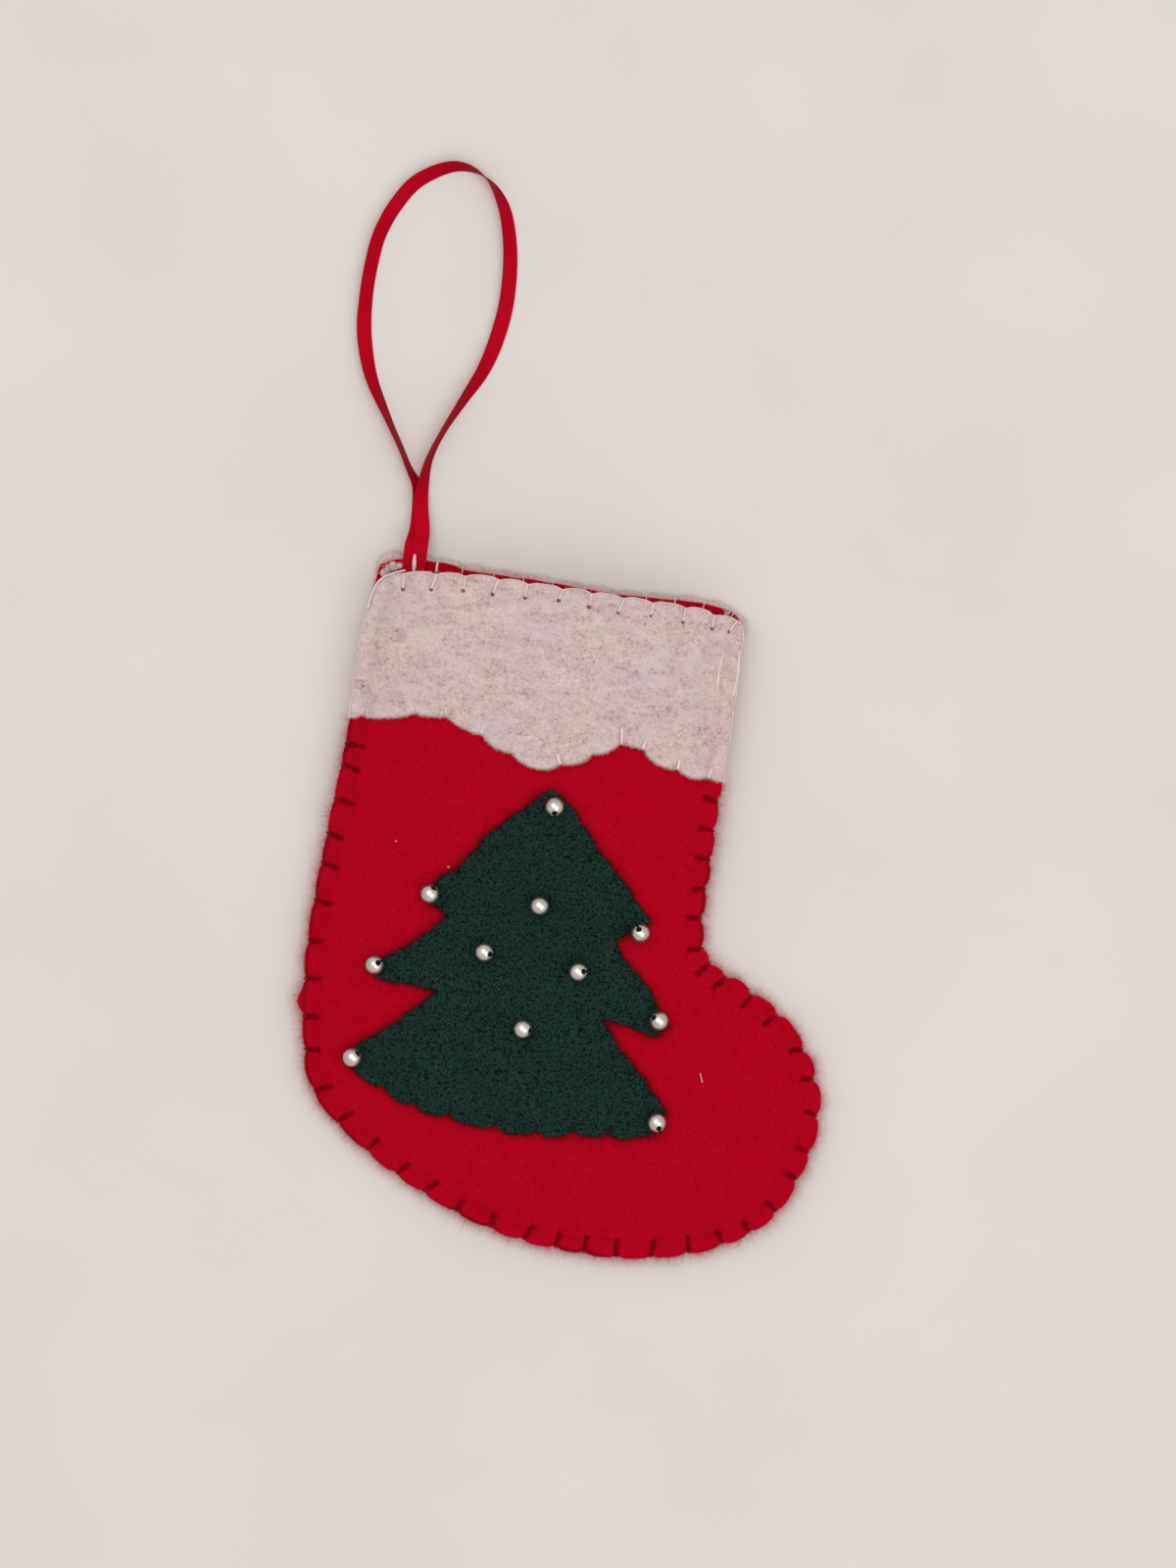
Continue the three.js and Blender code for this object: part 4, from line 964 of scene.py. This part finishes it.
class STOCKING_OT_edge_stitching(bpy.types.Operator):
    """Sews front to back round the red edge in blanket stitch"""

    bl_idname = "stocking.edge_stitching"
    bl_label = "Edge stitching"

    def execute(self, context):
        shape = Shape.get()
        share = np.linspace(0, 1, len(shape.seam.line))
        fade = 0.01
        shown = sum(
            np.clip(np.minimum(share - first, last - share) / fade + 0.5, 0, 1)
            for first, last in SEAM_RUN_SHOWN
        )
        # The run lies a little inside the edge, and further in from the sole on and where it shows.
        near, deep = -0.12, -0.42
        out = near + (deep - near) * np.clip((share - 0.5) / 0.08, 0, 1)
        out += (deep - out) * shown
        for middle, reach, half in HEEL_BULGES:
            out -= reach * np.exp(-(((share - middle) * Edge.STEP * len(share) / half) ** 2))
        run = edge_path(shape.seam, shape.back_low, shape.front_high, out, 0.86 + 0.16 * shown)
        paths = []
        for number, (start, end) in enumerate(shape.seam.stitches):
            bed = 0.68 if number in SEAM_STITCHES_FAINT else 0.46
            paths += wrap_path(start, end, 0.0, shape.back_low, shape.front_high, bed)
        sewn("edge_thread", paths, sizes().thread * 1.4, "red", "edge_stitching", fine=[run])
        return {"FINISHED"}


class STOCKING_OT_cuff_stitching(bpy.types.Operator):
    """Sews the cuffs: mouths, sides and wavy hem"""

    bl_idname = "stocking.cuff_stitching"
    bl_label = "Cuff stitching"

    def execute(self, context):
        shape = Shape.get()
        thin = sizes().thread * 0.9
        # Name, edge, foot and top of what it holds, the run's rise and reach, thickness and bed.
        groups = (
            ("front_mouth", shape.front_mouth, shape.front_low, shape.trim_high, 0.8, 0.05, 0.85, 0.15),
            ("back_mouth", shape.back_mouth, shape.back_cuff_low, shape.back_high, 0.2, -0.5, 0.6, 0.1),
            ("cuff_heel", shape.heel, shape.back_cuff_low, shape.trim_high, 0.85, 0.1, 0.8, 0.5),
            ("cuff_toe", shape.toe, shape.back_cuff_low, shape.trim_high, 0.85, 0.1, 0.75, 0.5),
        )
        ribbon_reach = 5  # no stitch of the back's mouth is nearer than this to the ribbon's middle
        for name, edge, low, high, rise, out, share, bed in groups:
            paths = []
            for start, end in edge.stitches:
                under_ribbon = name == "back_mouth" and abs(start[0] - STEM_X) < ribbon_reach
                if not under_ribbon:
                    paths += wrap_path(start, end, out, low, high, bed)
            paths.append(edge_path(edge, low, high, out, rise))
            if name == "cuff_heel":
                paths.append(self.face_thread(shape, CORNER_THREAD_SHARES, 0.02))
            if name == "cuff_toe":
                paths += [self.face_thread(shape, shares, 0.06) for shares in TOE_RUN_SHARES]
            sewn(f"{name}_thread", paths, thin * share, "white", f"{name}_stitching")
        paths = [edge_path(shape.hem, shape.front_high, shape.trim_high, -0.15, 0.2)]
        fine = []
        for number, (start, end) in enumerate(shape.hem.stitches):
            shown = number in HEM_STITCHES_SHOWN
            bed = 0.0 if shown else 0.35
            path = wrap_path(start, end, -0.1, shape.front_high, shape.trim_high, bed)[0]
            (paths if shown else fine).append(path)
        sewn("hem_thread", paths, thin * 1.3, "white", "front_hem_stitching", fine=fine)
        self.needle_marks(shape)
        return {"FINISHED"}

    def face_thread(self, shape, shares, bed):
        """A thread along the face of the front cuff, its two ends sunk in the felt."""
        run = smooth_line(on_front(shares), 6)
        heights = shape.trim_high(run) - bed
        sunk = 0.9
        heights[[0, -1]] -= sunk
        return lifted(run, heights)

    def needle_marks(self, shape):
        """Red fibres that the needle drew up through the cuff at each mouth stitch."""
        bm = bmesh.new()
        rng = random.Random(3)
        for _, end in shape.front_mouth.stitches:
            size = rng.uniform(0.28, 0.45)
            place = Matrix.Translation((*end, float(shape.trim_high(end[None])[0]) - 0.16))
            flat = Matrix.Diagonal((size, size * rng.uniform(0.8, 1.2), 0.2, 1))
            bmesh.ops.create_icosphere(bm, subdivisions=2, radius=1, matrix=place @ flat)
        finish_piece(bm, "needle_marks", finish("drawn_fibre"), "stocking", [])


class STOCKING_OT_tree_stitching(bpy.types.Operator):
    """Sews the tree to the front"""

    bl_idname = "stocking.tree_stitching"
    bl_label = "Tree stitching"

    def execute(self, context):
        shape = Shape.get()
        line = np.vstack([shape.tree, shape.tree[:1]])
        inward, _ = inward_of(line)
        run = line + inward * 0.15
        run = lifted(run, shape.front_high(run) + 0.3)
        paths = []
        for number, edge in enumerate(shape.tree_edges):
            bed = 0.12 if number == TREE_FOOT else 0.3
            for start, end in edge.stitches:
                paths.append(wrap_path(start, end, 0.0, shape.front_high, shape.trim_high, bed)[0])
        sewn("tree_thread", paths, sizes().thread, "green", "tree_stitching", fine=[run])
        return {"FINISHED"}


class STOCKING_OT_ribbon(bpy.types.Operator):
    """Makes the ribbon loop, its sewn-down ends and the tack that holds them"""

    bl_idname = "stocking.ribbon"
    bl_label = "Ribbon"

    STEP = 0.75  # from one row of the strip to the next, in millimetres
    LAYER = 0.24  # from the middle of the fold to the middle of each layer
    FOLD_OUT = 1.3  # from the felt's edge to the line on which the loop swings
    RIB_TURNS = 2.4  # sets the ribs an eighth of a millimetre apart

    def execute(self, context):
        hinge = next(j for j in frame["joints"] if j["name"] == "ribbon_swing")["pos_m"]
        fold = np.array(hinge) / MM - (*table_origin(), 0)
        under, over = fold[0] + RIBBON_FAN[0], fold[0] + RIBBON_FAN[1]
        self.loop(fold, under, over)
        self.sewn_end("ribbon_end_under", fold, under, -self.LAYER, 0.0, ["ribbon_tails"])
        self.sewn_end("ribbon_end_over", fold, over, self.LAYER, math.pi, [])
        self.tack(fold)
        return {"FINISHED"}

    def loop(self, fold, under, over):
        """The loop, from the under layer at the fold round to the one that lies over it."""
        s = sizes()
        rows = []
        for x, y, lift, lean in RIBBON_ROUTE:
            angle = math.radians(lean)
            rise = (s.ribbon_width / 2) * abs(math.sin(angle)) + 0.1 * abs(math.cos(angle)) + 0.02
            rows.append((x, y, lift + rise, angle))
        square = 0.9  # how far it goes straight out of the fold before it turns
        rows = [
            *((under, fold[1] + y, fold[2] - self.LAYER, 0.0) for y in (0, square)),
            *rows,
            *((over, fold[1] + y, fold[2] + self.LAYER, math.pi) for y in (square, 0)),
        ]
        line = evenly(smooth_line(rows, 12), self.STEP)
        piece = self.strip("ribbon_loop_satin", line, ["ribbon_loop"], "ribbon_loop")
        bpy.context.view_layer.update()
        left, low = table_origin()

    def sewn_end(self, name, fold, x, up, turn, nodes):
        """One end of the ribbon, from the fold down the inside of the back, a little splayed."""
        rows = [(x, fold[1] + 0.1, fold[2] + up, turn)]
        for k in range(12):
            y = fold[1] - self.FOLD_OUT - 1 - k
            splay = (x - fold[0]) * (1 + k / 22) - 0.55 * min(k, 3) / 3
            lies = float(Shape.get().back_high(np.array([[x, y]]))[0]) + 0.45 + up
            rows.append((fold[0] + splay, y, lies, turn))
        self.strip(name, evenly(np.array(rows), self.STEP), nodes, "stocking")

    def tack(self, fold):
        """The strands that hold the ribbon's ends, each from hole to hole."""
        edge_y = fold[1] - self.FOLD_OUT
        tacks = []
        for near_x, far_x, near, far, bows, rise in TACKS:
            for bow in bows:
                x = np.array([near_x, (near_x + far_x) / 2 + bow, far_x])
                y = edge_y - np.array([near, (near + far) / 2, far])
                high = Shape.get().back_high(np.stack([x, np.minimum(y, edge_y - 0.6)], axis=1)) + rise
                down = (-1.4, 0, 0.1, 0, -1.4)
                held = [0, 0, 1, 2, 2]
                tacks.append(smooth_line(lifted(np.stack([x, y], axis=1)[held], high[held] + down), 5))
        sewn("ribbon_tack_thread", tacks, sizes().thread, "white", "ribbon_tack")

    def strip(self, name, line, nodes, body):
        """A satin strip along a line of x, y, z and lean, a little hollow across."""
        s = sizes()
        middle = line[:, :3]
        ahead = np.gradient(middle, axis=0)
        ahead /= np.linalg.norm(ahead, axis=1)[:, None]
        flat = np.stack([-ahead[:, 1], ahead[:, 0], np.zeros(len(ahead))], axis=1)
        flat /= np.linalg.norm(flat, axis=1)[:, None]
        stood = np.cross(ahead, flat)
        lean = line[:, 3][:, None]
        wide = flat * np.cos(lean) + stood * np.sin(lean)
        thick = np.cross(ahead, wide)
        across = (-1, -0.9, -0.45, 0, 0.45, 0.9, 1)
        bm = bmesh.new()
        bmesh.ops.create_grid(bm, x_segments=len(line) - 1, y_segments=len(across) - 1, size=0.5)
        order = sorted(bm.verts, key=lambda v: (round(v.co.x, 5), v.co.y))
        uv = bm.loops.layers.uv.new("UVMap")
        where = {}
        for n, v in enumerate(order):
            i, j = divmod(n, len(across))
            sag = 0.06 * (1 - across[j] ** 2)
            v.co = Vector(middle[i] + wide[i] * (across[j] * s.ribbon_width / 2) + thick[i] * sag)
            where[v] = (i * self.STEP * self.RIB_TURNS, across[j])
        for face in bm.faces:
            for loop in face.loops:
                loop[uv].uv = where[loop.vert]
        bmesh.ops.recalc_face_normals(bm, faces=bm.faces[:])
        bm.normal_update()
        satin = s.ribbon_thick * 0.7
        for v, normal in [(v, v.normal.copy()) for v in bm.verts]:
            v.co += normal * (satin / 2)
        bmesh.ops.solidify(bm, geom=bm.faces[:], thickness=satin)
        for edge in bm.edges:
            edge.smooth = edge.calc_face_angle(0.0) < 0.8
        return finish_piece(bm, name, finish("satin_ribbon"), body, nodes)


class STOCKING_OT_beads(bpy.types.Operator):
    """Strings the eleven pearls on their threads"""

    bl_idname = "stocking.beads"
    bl_label = "Beads"

    SLACK = 0.12  # from a pearl's face to the middle of its thread, in millimetres
    SINK = 0.8  # how far its thread's ends go into the tree

    def execute(self, context):
        for number in range(1, 12):
            joint = next(j for j in frame["joints"] if j["child"] == f"bead_{number:02d}")
            centre = Vector(joint["pos_m"]) / MM - Vector((*table_origin(), 0))
            axis = Vector(joint["axis"]).normalized()
            self.pearl(number, centre, axis)
            self.thread(number, centre, axis)
        return {"FINISHED"}

    def pearl(self, number, centre, axis):
        """A pearl with its bore along the axis, spun from half of its outline."""
        radius, bore = sizes().bead / 2, sizes().bore / 2
        lip = math.acos(bore / radius)
        outline = [(radius * math.cos(a), 0, radius * math.sin(a)) for a in np.linspace(-lip, lip, 19)]
        bm = bmesh.new()
        ring = [bm.verts.new(p) for p in outline]
        edges = [bm.edges.new((ring[i], ring[(i + 1) % len(ring)])) for i in range(len(ring))]
        bmesh.ops.spin(
            bm, geom=ring + edges, cent=(0, 0, 0), axis=(0, 0, 1), dvec=(0, 0, 0), angle=math.tau,
            steps=32, use_merge=True, use_duplicate=False,
        )
        bmesh.ops.remove_doubles(bm, verts=bm.verts[:], dist=0.001)
        bmesh.ops.recalc_face_normals(bm, faces=bm.faces[:])
        turn = Vector((0, 0, 1)).rotation_difference(axis).to_matrix().to_4x4()
        bmesh.ops.transform(bm, matrix=Matrix.Translation(centre) @ turn, verts=bm.verts[:])
        shaded = [(f.calc_center_median() - centre).cross(axis).length < bore * 1.01 for f in bm.faces]
        node = f"bead_{number:02d}"
        piece = finish_piece(bm, f"pearl_{number:02d}", finish("pearl"), node, [node])
        # The faces inside the bore take the painted shade of the hole.
        piece.data.materials.append(finish("bore"))
        piece.data.polygons.foreach_set("material_index", [int(inner) for inner in shaded])

    def thread(self, number, centre, axis):
        """The stitch up through the tree, through the pearl, round it and down again."""
        reach = sizes().bead / 2 + self.SLACK
        tilt, last = math.asin(axis.z), -math.pi / 3
        level = Vector((axis.x, axis.y, 0)).normalized()
        low, foot = centre - axis * reach, centre + level * (reach / 2)
        below = Shape.get().trim_high(np.array([low[:2], foot[:2]])) - self.SINK
        path = [(low.x, low.y, below[0]), low, centre, centre + axis * reach]
        for k in range(1, 5):
            angle = tilt + (last - tilt) * k / 4
            out = level * math.cos(angle) + Vector((0, 0, math.sin(angle)))
            path.append(centre + out * reach)
        path.append((foot.x, foot.y, below[1]))
        path = smooth_line([tuple(p) for p in path], 4)
        name, node = f"pearl_thread_{number:02d}", f"bead_thread_{number:02d}"
        sewn(name, [path], sizes().thread, "green", node)


class STOCKING_OT_fuzz(bpy.types.Operator):
    """Adds the loose fibres at the felts' cut edges, the fluff at the mouth and the lint"""

    bl_idname = "stocking.fuzz"
    bl_label = "Fuzz"

    def execute(self, context):
        shape = Shape.get()
        part = 1.0
        seam = (shape.seam.line, shape.back_low, shape.front_high)
        heel = (shape.heel.line, shape.back_cuff_low, shape.trim_high)
        toe = (shape.toe.line, shape.back_cuff_low, shape.trim_high)
        mouth = (shape.front_mouth.line, shape.trim_low, shape.trim_high)
        back_mouth = (shape.back_mouth.line, shape.back_cuff_low, shape.back_low)
        hem = (shape.hem.line, shape.front_high, shape.trim_high)
        tree = (shape.tree, shape.front_high, shape.trim_high)
        # Name, felt, edge, fibres, their length and thickness, and where in the edge they start.
        groups = (
            # The red fibres are loose fibres and also painted light: their pink lightens the contact
            # shadow by the seam, and the long sparse haze paints red light bounced onto the table.
            ("red_fuzz", "red", seam, 3200, 1.1, 0.05, 0.5),
            ("red_haze", "red", seam, 3400, 3.0, 0.03, 0.2),
            ("cuff_heel_fuzz", "white", heel, 160, 1.1, 0.05, 0.1),
            ("cuff_toe_fuzz", "white", toe, 160, 1.1, 0.05, 0.1),
            ("front_mouth_fuzz", "white", mouth, 350, 0.9, 0.05, 0.6),
            ("back_mouth_fuzz", "white", back_mouth, 600, 1.2, 0.05, 0.3),
            ("hem_fuzz", "white", hem, 1900, 0.75, 0.07, 0.9),
            # The dense, low tree fibres are loose fibres and also paint the contact shadow on the red
            # felt round the tree.
            ("tree_fuzz", "green", tree, 4500, 1.3, 0.065, 0.05),
        )
        for name, wool, edge, count, length, thick, rise in groups:
            paths = fibre_paths(*edge, int(count * part), length, rise, name)
            self.fibres(name, paths, thick, f"{wool}_fibre", f"{wool}_felt", taper=True)
        self.over_stitches(shape, part)
        self.tufts(shape, part)
        self.lint(shape)
        return {"FINISHED"}

    def fibres(self, name, paths, thick, look, slot, taper=False):
        threads(name, paths, thick, finish(look), "stocking", [], sides=0, taper=taper)

    def over_stitches(self, shape, part):
        """Felt fibres that close over the red stitches."""
        rng = random.Random(11)
        paths = []
        for start, end in shape.seam.stitches:
            way = (end - start) / np.linalg.norm(end - start)
            side = np.array([-way[1], way[0]])
            for _ in range(int(34 * part)):
                middle = start + (end - start) * rng.uniform(0.05, 1.1) + side * rng.uniform(-0.3, 0.3)
                turn = rng.uniform(-0.8, 0.8)
                along = side * math.cos(turn) + way * math.sin(turn)
                reach = rng.uniform(0.3, 0.6)
                at = np.array([middle - along * reach, middle, middle + along * reach])
                paths.append(lifted(at, shape.front_high(at) + rng.uniform(-0.12, 0.02)))
        self.fibres("stitch_fuzz", paths, 0.08, "nap_fibre", "red_felt")

    def tufts(self, shape, part):
        """Matted white fluff at the two ends of the mouth: small felted lumps and a few fibres."""
        rng = random.Random(23)
        for name, places, wide, count in TUFTS:
            spine = evenly(smooth_line(on_front(places), 6), 0.2)
            level = float(shape.back_high(spine[:1])[0])
            stray = wide * 0.36
            bm = bmesh.new()
            for x, y in spine:
                size = wide * rng.uniform(0.6, 1.0)
                at = (x + rng.gauss(0, stray), y + rng.gauss(0, stray), level + rng.uniform(1.5, 1.75))
                turn = Matrix.Rotation(rng.uniform(0, 3), 4, "Z")
                flat = Matrix.Diagonal((size, size * rng.uniform(0.6, 0.95), rng.uniform(0.5, 0.7), 1))
                place = Matrix.Translation(at) @ turn @ flat
                bmesh.ops.create_icosphere(bm, subdivisions=3, radius=1, matrix=place)
            finish_piece(bm, name, finish("white_fluff"), "stocking", [])
            paths = []
            for _ in range(int(count * part)):
                middle = spine[rng.randrange(len(spine))] + (rng.gauss(0, wide), rng.gauss(0, wide))
                turn = rng.uniform(0, math.tau)
                along = np.array([math.cos(turn), math.sin(turn)]) * rng.uniform(0.3, 0.8)
                bend = np.array([-along[1], along[0]]) * rng.uniform(-0.5, 0.5)
                bent = [middle - along, middle - along * 0.3 + bend, middle + along * 0.4, middle + along]
                paths.append(lifted(smooth_line(bent, 3), level + rng.uniform(1.9, 2.6)))
            self.fibres(f"{name}_fibres", paths, 0.045, "white_fluff", "white_felt")

    def lint(self, shape):
        """Bits of white lint caught on the red felt."""
        paths = []
        for places in LINT_SHARES:
            line = smooth_line(on_front(places), 5)
            paths.append(lifted(line, shape.front_high(line) + 0.08))
        threads("white_lint", paths, 0.14, finish("white_thread"), "stocking", [], sides=1)


class STOCKING_OT_stage(bpy.types.Operator):
    """Sets the pale table, the soft light and the camera straight above"""

    bl_idname = "stocking.stage"
    bl_label = "Stage"

    REACH = 3.0  # of the table top from its middle, in metres
    GAP = 0.00005  # between the table and the underside, in metres
    VIEW_CENTRE = (52.46, 95.08)  # in millimetres from the lower left corner of the front
    ROLL = 7.5  # how far the picture is turned, in degrees
    DISTANCE = 1.5  # from the camera to the table, in metres
    VIEW_HEIGHT = 0.32  # what the picture shows from top to bottom, in metres
    # Name, place and size in metres, and power in watts.
    LAMPS = (
        ("window_light", (-0.35, 0.35, 1.5), 1.3, 7.5),
        ("room_light", (0.7, -0.35, 1.3), 1.3, 5.3),
    )

    def execute(self, context):
        bm = bmesh.new()
        bmesh.ops.create_grid(bm, x_segments=1, y_segments=1, size=self.REACH)
        mesh = bpy.data.meshes.new("table_top")
        bm.to_mesh(mesh)
        bm.free()
        mesh.materials.append(finish("table"))
        floor = bpy.data.objects.new("table_top", mesh)
        floor.location.z = -self.GAP
        context.collection.objects.link(floor)

        world = bpy.data.worlds.new("soft_room")
        context.scene.world = world
        world.use_nodes = True
        tree = world.node_tree
        tree.nodes.clear()
        seen_by_camera = add_node(tree, "LightPath").outputs["Is Camera Ray"]
        room = add_node(tree, "Background", {"Color": (1.0, 0.99, 0.98, 1), "Strength": 0.6})
        table = add_node(tree, "Background", {"Color": linear(colours().table), "Strength": 1.0})
        both = add_node(
            tree, "MixShader", links={0: seen_by_camera, 1: room.outputs[0], 2: table.outputs[0]}
        )
        add_node(tree, "OutputWorld", links={"Surface": both.outputs[0]})

        for name, place, size, power in self.LAMPS:
            lamp = bpy.data.lights.new(name, "AREA")
            lamp.size = size
            lamp.energy = power
            light = bpy.data.objects.new(name, lamp)
            light.location = place
            light.rotation_euler = (-Vector(place)).to_track_quat("-Z", "Y").to_euler()
            context.collection.objects.link(light)

        camera = bpy.data.cameras.new("camera")
        eye = bpy.data.objects.new("camera", camera)
        camera.sensor_width = 36
        camera.lens = camera.sensor_width * self.DISTANCE / self.VIEW_HEIGHT
        camera.clip_start, camera.clip_end = 0.05, 20
        centre = (np.array(self.VIEW_CENTRE) + table_origin()) * MM
        eye.location = (*centre, self.DISTANCE)
        eye.rotation_euler = (0, 0, math.radians(self.ROLL))
        context.collection.objects.link(eye)
        context.scene.camera = eye
        context.scene.view_settings.view_transform = "Standard"
        return {"FINISHED"}


class STOCKING_PT_panel(bpy.types.Panel):
    """Lists the stocking's pieces in the order in which they are sewn"""

    bl_idname = "STOCKING_PT_panel"
    bl_label = "Felt Stocking"
    bl_space_type = "VIEW_3D"
    bl_region_type = "UI"
    bl_category = "Stocking"

    def draw(self, context):
        for operator in OPERATORS:
            self.layout.operator(operator.bl_idname)
        for group in (context.scene.stocking_sizes, context.scene.stocking_colours):
            box = self.layout.box()
            for name in group.bl_rna.properties.keys():
                if name not in ("rna_type", "name"):
                    box.prop(group, name)


OPERATORS = (
    STOCKING_OT_stage,
    STOCKING_OT_felts,
    STOCKING_OT_edge_stitching,
    STOCKING_OT_cuff_stitching,
    STOCKING_OT_tree_stitching,
    STOCKING_OT_ribbon,
    STOCKING_OT_beads,
    STOCKING_OT_fuzz,
)
CLASSES = (StockingSizes, StockingColours, *OPERATORS, STOCKING_PT_panel)


def register():
    for cls in CLASSES:
        bpy.utils.register_class(cls)
    bpy.types.Scene.stocking_sizes = bpy.props.PointerProperty(type=StockingSizes)
    bpy.types.Scene.stocking_colours = bpy.props.PointerProperty(type=StockingColours)


def unregister():
    del bpy.types.Scene.stocking_sizes
    del bpy.types.Scene.stocking_colours
    for cls in reversed(CLASSES):
        bpy.utils.unregister_class(cls)


def main():
    register()
    bpy.ops.stocking.stage()
    bpy.ops.stocking.ribbon()
    bpy.ops.stocking.felts()
    bpy.ops.stocking.edge_stitching()
    bpy.ops.stocking.cuff_stitching()
    bpy.ops.stocking.tree_stitching()
    bpy.ops.stocking.beads()
    bpy.ops.stocking.fuzz()


if __name__ == "__main__":
    main()
